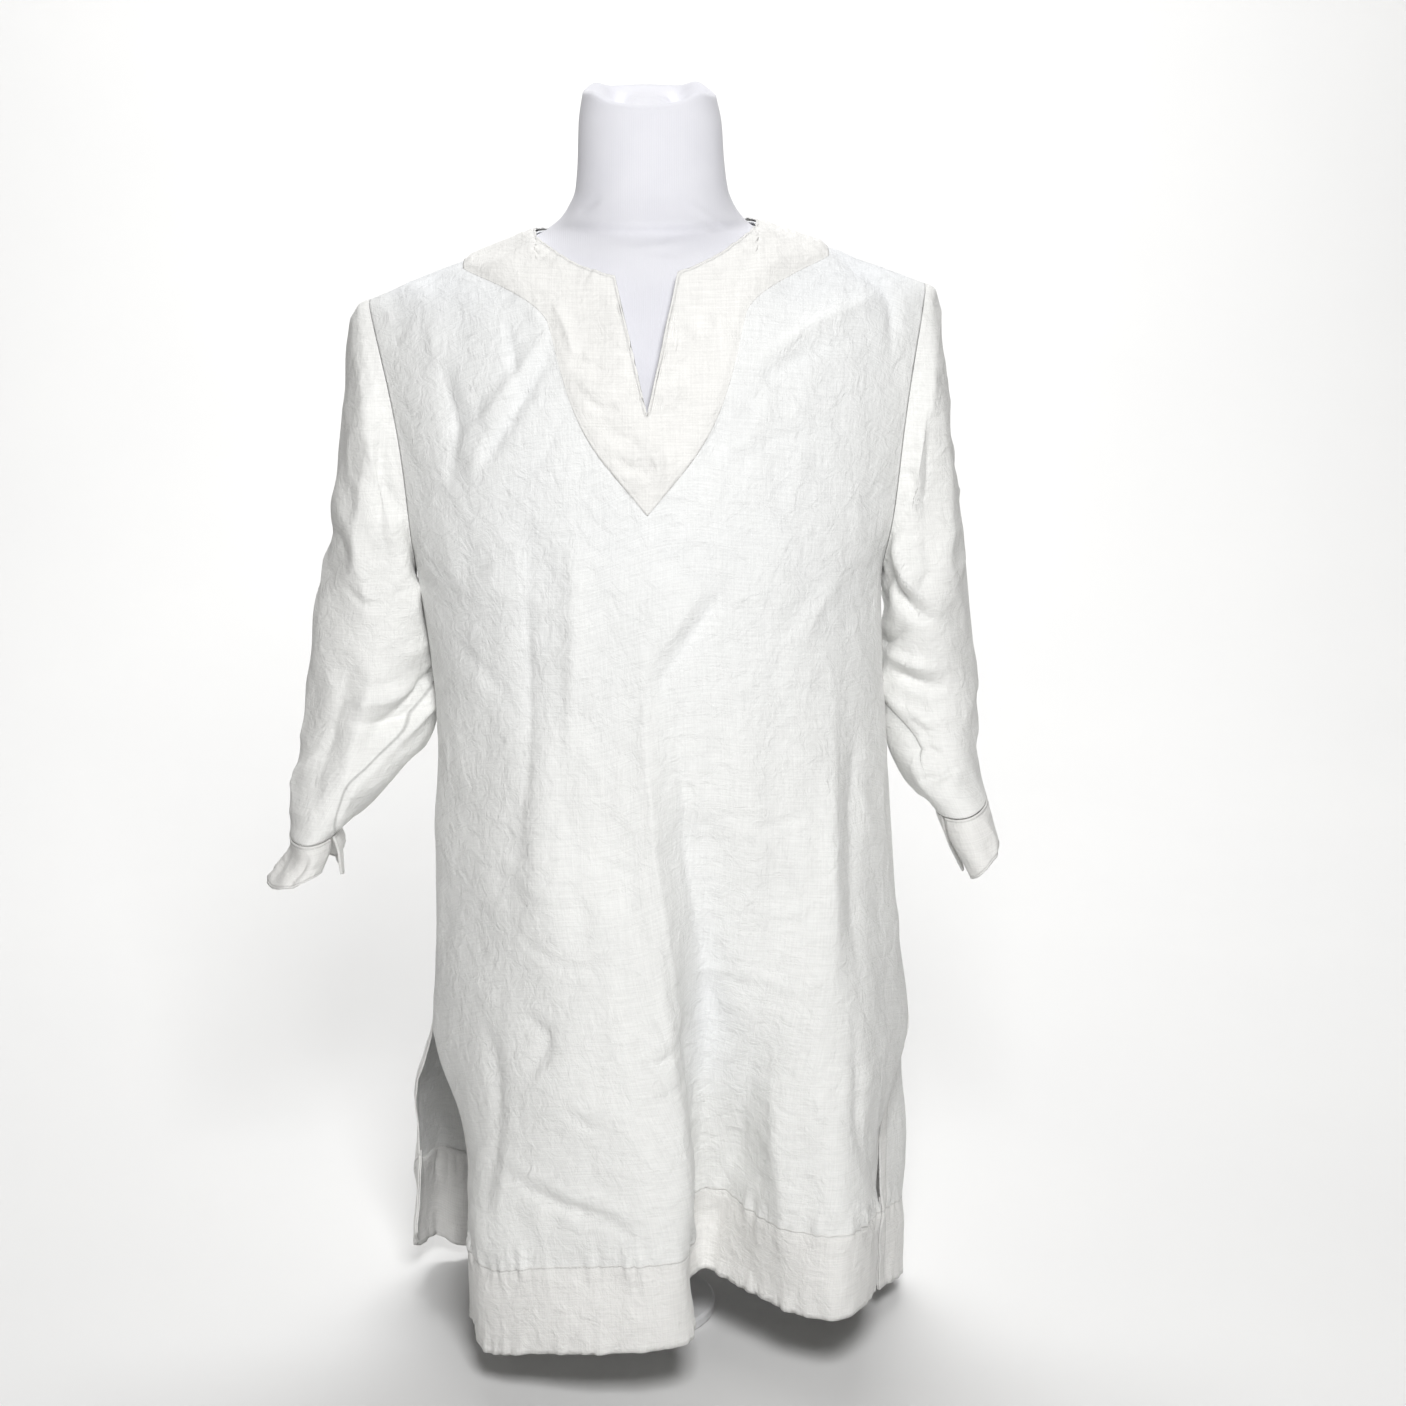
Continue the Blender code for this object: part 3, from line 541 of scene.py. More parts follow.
# Creases of the front: points (x, height), half width, rise
FRONT_CREASES = [
    ([(-0.112, 0.858), (-0.087, 0.846), (-0.070, 0.826)], 0.010, 0.0022),
    ([(-0.066, 0.812), (-0.095, 0.765), (-0.122, 0.722)], 0.010, -0.0030),
    ([(-0.072, 0.822), (-0.103, 0.778), (-0.132, 0.742)], 0.008, 0.0022),
    ([(-0.100, 0.832), (-0.096, 0.806), (-0.090, 0.784)], 0.009, -0.0018),
    ([(-0.128, 0.712), (-0.118, 0.744), (-0.098, 0.768)], 0.007, 0.0016),
    ([(-0.150, 0.800), (-0.140, 0.750), (-0.146, 0.700)], 0.014, -0.0028),
    ([(-0.060, 0.756), (-0.080, 0.726), (-0.112, 0.706)], 0.008, -0.0014),
    ([(0.071, 0.797), (0.117, 0.822), (0.172, 0.842)], 0.013, 0.0030),
    ([(0.085, 0.788), (0.125, 0.806), (0.170, 0.816)], 0.010, -0.0018),
    ([(0.150, 0.868), (0.184, 0.840), (0.186, 0.796)], 0.010, -0.0026),
    ([(0.080, 0.770), (0.120, 0.762), (0.150, 0.770)], 0.008, 0.0010),
    ([(0.060, 0.722), (0.100, 0.746), (0.130, 0.744)], 0.009, -0.0012),
    ([(-0.050, 0.680), (-0.052, 0.590), (-0.058, 0.500)], 0.024, 0.0035),
    ([(-0.086, 0.690), (-0.088, 0.600), (-0.090, 0.500), (-0.102, 0.400)], 0.024, -0.0040),
    ([(0.062, 0.640), (0.034, 0.600), (0.006, 0.556)], 0.012, -0.0030),
    ([(0.046, 0.642), (0.020, 0.606), (-0.006, 0.570)], 0.011, 0.0022),
    ([(0.000, 0.600), (0.002, 0.500), (0.010, 0.400), (0.026, 0.300)], 0.017, 0.0042),
    ([(0.024, 0.560), (0.030, 0.470), (0.040, 0.380), (0.052, 0.290)], 0.020, -0.0050),
    ([(0.142, 0.560), (0.142, 0.420), (0.146, 0.320)], 0.013, 0.0030),
    ([(0.160, 0.520), (0.160, 0.400), (0.166, 0.300)], 0.012, -0.0030),
    ([(0.161, 0.300), (0.164, 0.230), (0.171, 0.178)], 0.009, -0.0030),
    ([(-0.118, 0.190), (-0.072, 0.172), (-0.038, 0.165), (-0.004, 0.150)], 0.009, -0.0034),
    ([(-0.120, 0.204), (-0.070, 0.184), (-0.030, 0.176), (0.004, 0.164)], 0.009, 0.0020),
    ([(-0.066, 0.248), (-0.040, 0.232), (-0.016, 0.244)], 0.007, -0.0022),
    ([(-0.010, 0.300), (0.008, 0.280), (0.026, 0.292)], 0.006, -0.0036),
    ([(-0.003, 0.318), (0.006, 0.306), (0.014, 0.288)], 0.006, 0.0026),
    ([(0.000, 0.262), (0.014, 0.256), (0.028, 0.262)], 0.005, -0.0022),
    ([(-0.002, 0.246), (0.008, 0.236), (0.018, 0.222)], 0.006, -0.0022),
    ([(-0.092, 0.310), (-0.076, 0.294), (-0.092, 0.262)], 0.010, -0.0026),
    ([(-0.120, 0.300), (-0.116, 0.240), (-0.122, 0.160)], 0.012, -0.0030),
    ([(0.037, 0.334), (0.074, 0.336), (0.129, 0.318)], 0.007, 0.0014),
    ([(0.086, 0.290), (0.070, 0.210), (0.053, 0.130), (0.046, 0.060)], 0.034, -0.0080),
    ([(0.096, 0.260), (0.102, 0.190), (0.108, 0.100)], 0.024, 0.0050),
    ([(-0.060, 0.446), (-0.030, 0.430), (0.000, 0.420)], 0.008, -0.0014),
    ([(-0.110, 0.420), (-0.070, 0.404), (-0.040, 0.410)], 0.009, 0.0014),
    ([(-0.100, 0.372), (-0.060, 0.352), (-0.020, 0.360)], 0.009, -0.0018),
    ([(0.060, 0.470), (0.090, 0.450), (0.126, 0.462)], 0.009, -0.0014),
    ([(0.070, 0.400), (0.100, 0.384), (0.134, 0.392)], 0.009, 0.0014),
    ([(0.120, 0.240), (0.134, 0.216), (0.126, 0.190)], 0.007, -0.0018),
    ([(-0.150, 0.590), (-0.124, 0.570), (-0.104, 0.548)], 0.010, -0.0016),
    ([(0.150, 0.640), (0.128, 0.612), (0.110, 0.590)], 0.012, 0.0018),
]
# Creases of the back, which the photograph hides
BACK_CREASES = [
    ([(-0.120, 0.840), (-0.070, 0.812), (-0.020, 0.806)], 0.014, 0.0024),
    ([(0.124, 0.846), (0.080, 0.806), (0.030, 0.792)], 0.014, -0.0024),
    ([(-0.160, 0.790), (-0.120, 0.730), (-0.104, 0.660)], 0.016, -0.0034),
    ([(0.166, 0.786), (0.134, 0.724), (0.112, 0.650)], 0.016, 0.0034),
    ([(-0.060, 0.760), (-0.052, 0.660), (-0.064, 0.540)], 0.020, 0.0036),
    ([(0.048, 0.740), (0.036, 0.620), (0.046, 0.500)], 0.020, -0.0036),
    ([(-0.110, 0.520), (-0.060, 0.500), (-0.020, 0.512)], 0.011, -0.0024),
    ([(0.020, 0.470), (0.070, 0.452), (0.116, 0.468)], 0.011, 0.0024),
    ([(-0.130, 0.400), (-0.080, 0.372), (-0.030, 0.384)], 0.010, -0.0022),
    ([(0.040, 0.330), (0.090, 0.312), (0.140, 0.330)], 0.010, -0.0024),
    ([(-0.090, 0.280), (-0.050, 0.250), (0.000, 0.262)], 0.009, 0.0022),
    ([(0.060, 0.230), (0.110, 0.206), (0.160, 0.218)], 0.009, -0.0024),
    ([(-0.160, 0.200), (-0.110, 0.172), (-0.060, 0.176)], 0.010, -0.0026),
]
print("creases placed by hand:", len(FRONT_CREASES) + len(BACK_CREASES))


# %% Relief of the panels
CREASE_STRENGTH = 1.6
SIDE_FADE = 0.022
TOP_FADE = 0.016
SLIT_TOP = 0.262
HEM_DEPTH = 0.070
SLIT_STRIP = 0.013


def panel_measures(grid):
    """Distances from the hem, from the nearer side edge and from the top, at each point."""
    up, across = arc_lengths(grid, 0), arc_lengths(grid, 1)
    width = across[:, -1:]
    return {"from_hem": up, "from_side": np.minimum(across, width - across),
            "from_top": up[-1:] - up, "across": across - width / 2, "width": width}


def row_distance(grid, row):
    """Distance of each point from a line of points in space, and the place along that line."""
    flat = grid.reshape(-1, 3)
    steps = np.concatenate([[0], np.cumsum(np.linalg.norm(np.diff(row, axis=0), axis=1))])
    near, place = np.full(len(flat), 1e9), np.zeros(len(flat))
    for k, (p, q) in enumerate(zip(row[:-1], row[1:])):
        d = q - p
        t = np.clip((flat - p) @ d / max(d @ d, 1e-12), 0, 1)
        far = np.linalg.norm(flat - p - t[:, None] * d, axis=1)
        closer = far < near
        near = np.where(closer, far, near)
        place = np.where(closer, mix(steps[k], steps[k + 1], t), place)
    return near.reshape(grid.shape[:2]), place.reshape(grid.shape[:2])


def relief(side, grid, measures):
    """Rise of a panel off its plain form, fading to nothing at its seams."""
    creases = FRONT_CREASES if side < 0 else BACK_CREASES
    x, z = grid[:, :, 0], grid[:, :, 2]
    across, up = measures["across"], measures["from_hem"]
    stiff = smooth((np.arange(len(grid)) - FACING_ROW + 5) / 5)[:, None]
    stiff = stiff * smooth((BAND_END_REACH + 0.01 - np.abs(x - MIDDLE_X)) / 0.01)
    rise = crumpled(grid, 11 if side < 0 else 57, 0.0012)
    rise += CREASE_STRENGTH * crease_field(grid[:, :, [0, 2]], creases)
    rise *= 1 - 0.6 * stiff
    gathers = np.abs(swell(np.stack([across, up * 0.15], -1), 0.017, 91 + side)) - 0.5
    rise += 0.0032 * gathers * np.exp(-((up - HEM_DEPTH) / 0.014) ** 2)
    edge_gathers = np.abs(swell(np.stack([across, up * 0.2], -1), 0.024, 71 + side)) - 0.5
    rise += 0.0018 * edge_gathers * np.exp(-(up / 0.018) ** 2)
    closed = smooth((z - SLIT_TOP + 0.02) / 0.03)
    side_fade = mix(1.0, smooth(measures["from_side"] / SIDE_FADE), closed)
    top_fade = smooth(row_distance(grid, grid[-1])[0] / TOP_FADE)
    return rise * side_fade * top_fade


def curled_corner(grid, measures):
    """The back panel's corner at the left slit hangs forward, and the cloth beside it lies back."""
    low = (1 - smooth(grid[:, :, 2] / SLIT_TOP)) * (grid[:, :, 0] < 0)
    corner = CORNER_CURL * (1 - smooth(measures["from_side"] / 0.035)) * low
    beside = CORNER_CURL * np.exp(-((measures["from_side"] - 0.060) / 0.025) ** 2) * low
    moved = grid.copy()
    moved[:, :, 1] += beside - corner
    moved[:, :, 2] += 0.4 * corner + 0.5 * beside
    return moved


CORNER_CURL = 0.020
shaped, facts = {}, {}
for side in (-1, 1):
    grid = plain[side]
    facts[side] = panel_measures(grid)
    lift = relief(side, grid, facts[side])
    if side > 0:
        grid = curled_corner(grid, facts[side])
    shaped[side] = grid + grid_normals(grid) * lift[:, :, None]
    print("relief of side", side, "from", round(lift.min() * 1000, 1), "to",
          round(lift.max() * 1000, 1), "mm")

# %% [markdown]
# ## Finishes
# Up close linen is a plain weave of uneven threads: thick and thin places, called slubs, draw
# short streaks both ways. Where the cloth lies on the white form it looks cool, and where it
# is doubled, as in the hems and the neck facing, it looks creamy and less sheer. Both effects
# are read from measures stored on the cloth, so no picture is needed.

# %% Node helpers
def link_or_set(tree, target, value):
    if isinstance(value, bpy.types.NodeSocket):
        tree.links.new(value, target)
    else:
        target.default_value = value


def add_node(tree, kind, inputs=None, **settings):
    made = tree.nodes.new(kind)
    for name, value in settings.items():
        setattr(made, name, value)
    for key, value in (inputs or {}).items():
        link_or_set(tree, made.inputs[key], value)
    return made


def math_node(tree, operation, a, b=0.0, clamp=False):
    made = add_node(tree, "ShaderNodeMath", {0: a, 1: b}, operation=operation)
    made.use_clamp = clamp
    return made.outputs[0]


def step_down(tree, value, limit, soft):
    """1 where a value is below a limit, 0 above it, with a soft edge."""
    made = add_node(tree, "ShaderNodeMapRange", {0: value, 1: limit - soft, 2: limit + soft, 3: 1.0, 4: 0.0})
    made.interpolation_type = "SMOOTHSTEP"
    return made.outputs[0]


def band(tree, value, middle, half):
    """1 on a line at a value, fading to 0 at a half width from it."""
    off = math_node(tree, "ABSOLUTE", math_node(tree, "SUBTRACT", value, middle))
    return step_down(tree, off, half * 0.5, half * 0.5)


def blend_colour(tree, share, a, b):
    made = add_node(tree, "ShaderNodeMix", data_type="RGBA")
    link_or_set(tree, made.inputs["Factor"], share)
    for socket, value in ((made.inputs[6], a), (made.inputs[7], b)):
        link_or_set(tree, socket, (*value, 1.0) if isinstance(value, tuple) else value)
    return made.outputs[2]


def attribute(tree, name):
    return add_node(tree, "ShaderNodeAttribute", attribute_name=name).outputs


def new_material(name):
    look = bpy.data.materials.new(name)
    look.use_nodes = True
    tree = look.node_tree
    return look, tree, tree.nodes["Principled BSDF"]


# %% Linen
LINEN_COOL = (0.835, 0.85, 0.87)
LINEN_SINGLE = (0.85, 0.853, 0.838)
LINEN_DOUBLE = (0.850, 0.844, 0.825)


def streaks(tree, thread, stretch, seed):
    """Slubs that run one way: noise drawn out along the thread."""
    moved = add_node(tree, "ShaderNodeMapping", {"Vector": thread, "Scale": stretch,
                                                 "Location": (seed, seed * 0.7, 0.0)})
    return add_node(tree, "ShaderNodeTexNoise", {"Vector": moved.outputs[0], "Scale": 1.0,
                                                 "Detail": 3.0, "Roughness": 0.6}).outputs["Fac"]


def linen(name, doubled, hems=(), seam=None, groove_shade=0.14):
    """Linen; doubled is its share of creamy double cloth, hems are (measure, depth) pairs."""
    look, tree, shader = new_material(name)
    thread = attribute(tree, "thread")["Vector"]
    weft = streaks(tree, thread, (34.0, 900.0, 1.0), 3.0)
    warp = streaks(tree, thread, (900.0, 34.0, 1.0), 8.0)
    slub = math_node(tree, "ADD", math_node(tree, "MULTIPLY", weft, 0.55), math_node(tree, "MULTIPLY", warp, 0.45))
    place = add_node(tree, "ShaderNodeTexCoord").outputs["Object"]
    cloud = add_node(tree, "ShaderNodeTexNoise", {"Vector": place, "Scale": 14.0, "Detail": 4.0}).outputs["Fac"]
    near = attribute(tree, "near")["Fac"]
    share = doubled
    groove = 0.0
    for measure, depth in hems:
        value = attribute(tree, measure)["Fac"]
        inside = step_down(tree, value, depth, 0.0006)
        share = inside if share == 0.0 else math_node(tree, "MAXIMUM", share, inside)
        line = band(tree, value, depth - 0.0016, 0.0011)
        groove = line if groove == 0.0 else math_node(tree, "MAXIMUM", groove, line)
    if seam:
        groove = band(tree, attribute(tree, seam)["Fac"], 0.0, 0.0014)
    single = blend_colour(tree, near, LINEN_SINGLE, LINEN_COOL)
    colour = blend_colour(tree, share, single, LINEN_DOUBLE)
    tone = add_node(tree, "ShaderNodeMapRange", {0: slub, 1: 0.38, 2: 0.62, 3: 0.93, 4: 1.04}).outputs[0]
    tone = math_node(tree, "MULTIPLY", tone, add_node(
        tree, "ShaderNodeMapRange", {0: cloud, 1: 0.3, 2: 0.7, 3: 0.975, 4: 1.02}).outputs[0])
    if groove != 0.0:
        tone = math_node(tree, "MULTIPLY", tone, math_node(tree, "SUBTRACT", 1.0, math_node(
            tree, "MULTIPLY", groove, groove_shade)))
    toned = add_node(tree, "ShaderNodeVectorMath", operation="SCALE")
    tree.links.new(colour, toned.inputs[0])
    tree.links.new(tone, toned.inputs["Scale"])
    tree.links.new(toned.outputs[0], shader.inputs["Base Color"])
    crumple = add_node(tree, "ShaderNodeTexNoise", {"Vector": place, "Scale": 75.0, "Detail": 5.0,
                                                    "Roughness": 0.62, "Distortion": 0.6}).outputs["Fac"]
    height = math_node(tree, "ADD", math_node(tree, "MULTIPLY", slub, 0.0005),
                       math_node(tree, "MULTIPLY", crumple, mix(0.0026, 0.0020, doubled)))
    if groove != 0.0:
        height = math_node(tree, "SUBTRACT", height, math_node(tree, "MULTIPLY", groove, 0.0004))
    bump = add_node(tree, "ShaderNodeBump", {"Height": height, "Strength": 1.0, "Distance": 1.0})
    tree.links.new(bump.outputs[0], shader.inputs["Normal"])
    rough = add_node(tree, "ShaderNodeMapRange", {0: slub, 1: 0.3, 2: 0.7, 3: 0.72, 4: 0.88}).outputs[0]
    tree.links.new(rough, shader.inputs["Roughness"])
    shader.inputs["Specular IOR Level"].default_value = 0.3
    shader.inputs["Sheen Weight"].default_value = 0.12
    shader.inputs["Sheen Roughness"].default_value = 0.5
    return look


linen_body = linen("linen_body", 0.0, [("from_hem", HEM_DEPTH), ("from_slit", SLIT_STRIP)])
linen_sleeve = linen("linen_sleeve", 0.25, seam="from_seam", groove_shade=0.34)
linen_doubled = linen("linen_doubled", 1.0, [("from_edge", 0.0035)])
print("linen finishes:", linen_body.name, linen_sleeve.name, linen_doubled.name)


# %% [markdown]
# ## The dress form
# The form is foam under a stretched white jersey cover. Its chest shows through the notch and
# its neck stands above the collar. The cover is loose at the neck's top, where it has sunk in.
# Rings of smooth sections, read closely between their rows, give the body its even swell.

# %% Form
FORM_RINGS = [
    (0.256, 0.118, 0.124, 0.080, 0.080, 2.4), (0.262, 0.125, 0.131, 0.087, 0.087, 2.4),
    (0.300, 0.134, 0.140, 0.094, 0.092, 2.4), (0.380, 0.132, 0.138, 0.096, 0.088, 2.3),
    (0.480, 0.120, 0.126, 0.094, 0.080, 2.3), (0.580, 0.136, 0.142, 0.106, 0.084, 2.3),
    (0.680, 0.152, 0.158, 0.111, 0.087, 2.2), (0.740, 0.162, 0.169, 0.108, 0.086, 2.1),
    (0.790, 0.172, 0.181, 0.100, 0.081, 1.9), (0.815, 0.180, 0.189, 0.092, 0.075, 1.7),
    (0.832, 0.188, 0.196, 0.085, 0.069, 1.55), (0.842, None, 0.1985, 0.081, 0.065, 1.45),
    (0.853, None, None, 0.077, 0.061, 1.4), (0.864, None, None, 0.073, 0.058, 1.4),
    (0.875, None, None, 0.068, 0.055, 1.35), (0.8843, 0.0820, 0.0995, 0.061, 0.050, 1.25),
    (0.8885, 0.0745, 0.0865, 0.056, 0.049, 1.3), (0.8912, 0.0710, 0.0800, 0.054, 0.049, 1.35),
    (0.896, 0.0650, 0.0745, 0.055, 0.050, 1.6), (0.905, 0.0585, 0.0675, 0.050, 0.051, 1.8),
    (0.918, 0.0530, 0.0620, 0.043, 0.051, 2.0), (0.940, 0.0510, 0.0590, 0.038, 0.051, 2.0),
    (0.968, 0.0500, 0.0570, 0.036, 0.051, 2.0), (0.986, 0.0470, 0.0530, 0.035, 0.051, 2.0),
]
NECK_TILT = 0.10
NECK_TILT_START_Z = 0.930
SEAT_CLEARANCE = 0.0001
NECK_SINK = [(0.95, -0.0024), (0.90, -0.0012), (0.82, 0.003), (0.70, 0.009), (0.55, 0.0125),
             (0.38, 0.0135), (0.20, 0.0130), (0.08, 0.0125)]
WRINKLES_START_Z = 0.860
EAR_RISE = 0.0050
EAR_REACH = 0.041
LIP_SAG = 0.0030
POCKET_REACH = 0.0235
POCKET_WIDTH = 0.0075
# Thin wrinkles of the cover at the base of the neck: points (x, height), half width, rise
FORM_WRINKLES = [
    ([(-0.002, 0.880), (0.020, 0.877), (0.041, 0.882)], 0.0045, -0.0016),
    ([(-0.034, 0.888), (0.000, 0.885), (0.030, 0.890)], 0.0040, -0.0013),
    ([(-0.049, 0.903), (-0.040, 0.909), (-0.031, 0.914)], 0.0050, -0.0018),
    ([(0.041, 0.902), (0.052, 0.895), (0.062, 0.890)], 0.0045, -0.0016),
    ([(0.030, 0.912), (0.044, 0.904), (0.054, 0.897)], 0.0045, 0.0014),
]
FORM_SIDES = 144


def seat_reach(z, line):
    """Reach of the form's shoulder line at a height, just under the cloth."""
    drop = (PANEL_WALL + SEAM_GAP) * math.hypot(1, line["slope"]) + SEAT_CLEARANCE
    return NECK_POINT_REACH + (line["height"] - drop - z) / line["slope"]


def form_rows():
    rows = []
    for z, left, right, front, back, roundness in FORM_RINGS:
        rows.append((z, seat_reach(z, SHOULDER_LEFT) if left is None else left,
                     seat_reach(z, SHOULDER_RIGHT) if right is None else right, front, back, roundness))
    return rows


def form_ring(z, left, right, front, back, roundness):
    points = []
    for k in range(FORM_SIDES):
        angle = 2 * math.pi * k / FORM_SIDES
        across, deep = math.cos(angle), math.sin(angle)
        x = across * (right if across > 0 else left)
        y = power(deep, 2 / roundness) * (back if deep > 0 else front)
        tilt = NECK_TILT * y * float(smooth((z - NECK_TILT_START_Z) / (FORM_RINGS[-1][0] - NECK_TILT_START_Z)))
        rim = float(smooth((z - 0.966) / 0.020))
        ears = EAR_RISE * math.exp(-((abs(x) - EAR_REACH) / 0.009) ** 2)
        sag = LIP_SAG * max(-deep, 0.0) * math.exp(-(x / 0.028) ** 2)
        points.append((MIDDLE_X + x, y, z + tilt + (ears - sag) * rim))
    return points


def form_grid():
    """Rings at the table's heights and between them, then the sunk cover of the neck."""
    table = form_rows()
    heights = []
    for a, b in zip(table, table[1:]):
        parts = max(1, round((b[0] - a[0]) / (0.0025 if a[0] > WRINKLES_START_Z else 0.005)))
        heights += [mix(a[0], b[0], k / parts) for k in range(parts)]
    heights.append(table[-1][0])
    rings = [form_ring(z, *along(table, z)) for z in heights]
    rings = [np.array(ring) for ring in rings]
    rim = rings[-1]
    centre = rim.mean(0)
    for share, sink in NECK_SINK:
        ring = centre + (rim - centre) * share
        pocket = np.exp(-((np.abs(ring[:, 0] - centre[0]) - POCKET_REACH) / POCKET_WIDTH) ** 2)
        ring[:, 2] -= sink * mix(0.15, 1.2, pocket) if sink > 0 else sink
        rings.append(ring)
    grid = np.array(rings)
    rise = crease_field(grid[:, :, [0, 2]], FORM_WRINKLES) * (grid[:, :, 1] < 0)
    return grid + grid_normals(grid, closed=True) * rise[:, :, None]


def mesh_piece(name, grid, closed, material, caps=False):
    """A surface through a grid of points, with a cap on each end if asked."""
    count, width = grid.shape[:2]
    index = np.arange(count * width).reshape(count, width)
    after = np.roll(index, -1, axis=1)
    used = width if closed else width - 1
    faces = np.stack([index[:-1, :used], after[:-1, :used], after[1:, :used], index[1:, :used]], axis=-1)
    faces = [tuple(int(v) for v in f) for f in faces.reshape(-1, 4)]
    if caps:
        faces += [tuple(int(v) for v in index[0][::-1]), tuple(int(v) for v in index[-1])]
    mesh = bpy.data.meshes.new(name)
    mesh.from_pydata([tuple(p) for p in grid.reshape(-1, 3)], [], faces)
    mesh.shade_smooth()
    mesh.materials.append(material)
    piece = bpy.data.objects.new(name, mesh)
    bpy.context.scene.collection.objects.link(piece)
    return piece


def store(piece, name, values):
    """Keep a measure at each point of a piece, for its finish."""
    values = np.asarray(values, np.float32)
    kind = "FLOAT_VECTOR" if values.ndim == 3 else "FLOAT"
    kept = piece.data.attributes.new(name, kind, "POINT")
    kept.data.foreach_set("vector" if values.ndim == 3 else "value", values.ravel())


def jersey():
    look, tree, shader = new_material("jersey")
    place = add_node(tree, "ShaderNodeTexCoord").outputs["Object"]
    ribs = add_node(tree, "ShaderNodeTexWave", {"Vector": place, "Scale": 190.0, "Distortion": 0.6,
                                                "Detail": 1.0}, wave_type="BANDS", bands_direction="X")
    cloud = add_node(tree, "ShaderNodeTexNoise", {"Vector": place, "Scale": 22.0, "Detail": 5.0}).outputs["Fac"]
    share = add_node(tree, "ShaderNodeMapRange", {0: cloud, 1: 0.35, 2: 0.65, 3: 0.0, 4: 1.0}).outputs[0]
    tree.links.new(blend_colour(tree, share, (0.715, 0.715, 0.765), (0.75, 0.75, 0.795)),
                   shader.inputs["Base Color"])
    height = math_node(tree, "ADD", math_node(tree, "MULTIPLY", ribs.outputs["Fac"], 0.00008),
                       math_node(tree, "MULTIPLY", cloud, 0.0006))
    bump = add_node(tree, "ShaderNodeBump", {"Height": height, "Strength": 0.6, "Distance": 1.0})
    tree.links.new(bump.outputs[0], shader.inputs["Normal"])
    rough = add_node(tree, "ShaderNodeMapRange", {0: cloud, 1: 0.3, 2: 0.7, 3: 0.78, 4: 0.9}).outputs[0]
    tree.links.new(rough, shader.inputs["Roughness"])
    shader.inputs["Sheen Weight"].default_value = 0.15
    return look


jersey_white = jersey()
form_points = form_grid()
form = mesh_piece("form_cover", form_points, True, jersey_white, caps=True)
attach(form, "root")
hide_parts("dress_form")
bpy.context.view_layer.update()
form_tree = BVHTree.FromObject(form, bpy.context.evaluated_depsgraph_get())
print("form rings", len(form_points))

# %% [markdown]
# ## Cloth rests on the form
# A crease may not sink into the form. Each point is tested against it and moved out to just
# more than the cloth's thickness. The same distance tells how much of the white form shows
# through, so it is kept as a measure for the finish.

# %% Rest the panels on the form
CLOTH_CLEARANCE = 0.0004
SHOW_THROUGH = 0.016


def rest_on_form(grid, wall):
    """Points moved out of the form, and how strongly the form shows through at each."""
    flat = grid.reshape(-1, 3)
    shade = np.zeros(len(flat))
    moved = flat.copy()
    need = wall + CLOTH_CLEARANCE
    for k, point in enumerate(flat):
        place, normal, _, _ = form_tree.find_nearest(Vector(point))
        gap = (Vector(point) - place).dot(normal)
        if gap < need:
            moved[k] = point + np.array(normal) * (need - gap)
        shade[k] = math.exp(-max(gap, 0.0) / SHOW_THROUGH)
    return moved.reshape(grid.shape), shade.reshape(grid.shape[:2])


show = {}
for side in (-1, 1):
    shaped[side], show[side] = rest_on_form(shaped[side], PANEL_WALL)
    print("side", side, "mean share of form showing", round(float(show[side].mean()), 2))


# %% Panels
def wall(piece, thickness, offset):
    solid = piece.modifiers.new("wall", "SOLIDIFY")
    solid.thickness = thickness
    solid.offset = offset
    solid.use_even_offset = False


def dressed(piece, nodes):
    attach(piece, "root")
    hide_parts(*nodes)
    return piece


def threads(grid):
    """Where each point lies on the flat cloth: distance across and distance up, in metres."""
    across, up = arc_lengths(grid, 1), arc_lengths(grid, 0)
    across = across - across[:, -1:] / 2
    if len(grid) > UNDERARM_ROW + CHEST_ROWS:
        across[UNDERARM_ROW + CHEST_ROWS:] = across[UNDERARM_ROW + CHEST_ROWS]
    return np.stack([across, up, np.zeros_like(up)], axis=2)


panels = {}
for side, name in ((-1, "front"), (1, "back")):
    grid = shaped[side]
    panel = mesh_piece(name + "_panel_cloth", grid, False, linen_body)
    measures = panel_measures(plain[side])
    from_slit = np.where(grid[:, :, 2] < SLIT_TOP + 0.012, measures["from_side"],
                         measures["from_side"] + (grid[:, :, 2] - SLIT_TOP - 0.012) * 4)
    store(panel, "thread", threads(plain[side]))
    store(panel, "near", show[side])
    store(panel, "from_hem", measures["from_hem"])
    store(panel, "from_slit", from_slit)
    wall(panel, PANEL_WALL, -1.0)
    dressed(panel, [name + "_panel"])
    panels[side] = panel

# %% [markdown]
# ## Hem bands and neck facing
# The hem is a deep turned-up band, so a second layer lies inside the panel up to the stitched
# line. The neck facing is turned to the outside: a band round the neck that ends in a pointed
# bib. Both are made from the panel's own points, moved in or out, so they follow each crease.


# %% Bands
def finer(grid, parts=2):
    """More rows and columns on straight lines between the same points."""
    for _ in range(2):
        grid = grid.transpose(1, 0, 2)
        rows = [mix(a, b, k / parts) for a, b in zip(grid[:-1], grid[1:]) for k in range(parts)]
        grid = np.array(rows + [grid[-1]])
    return grid


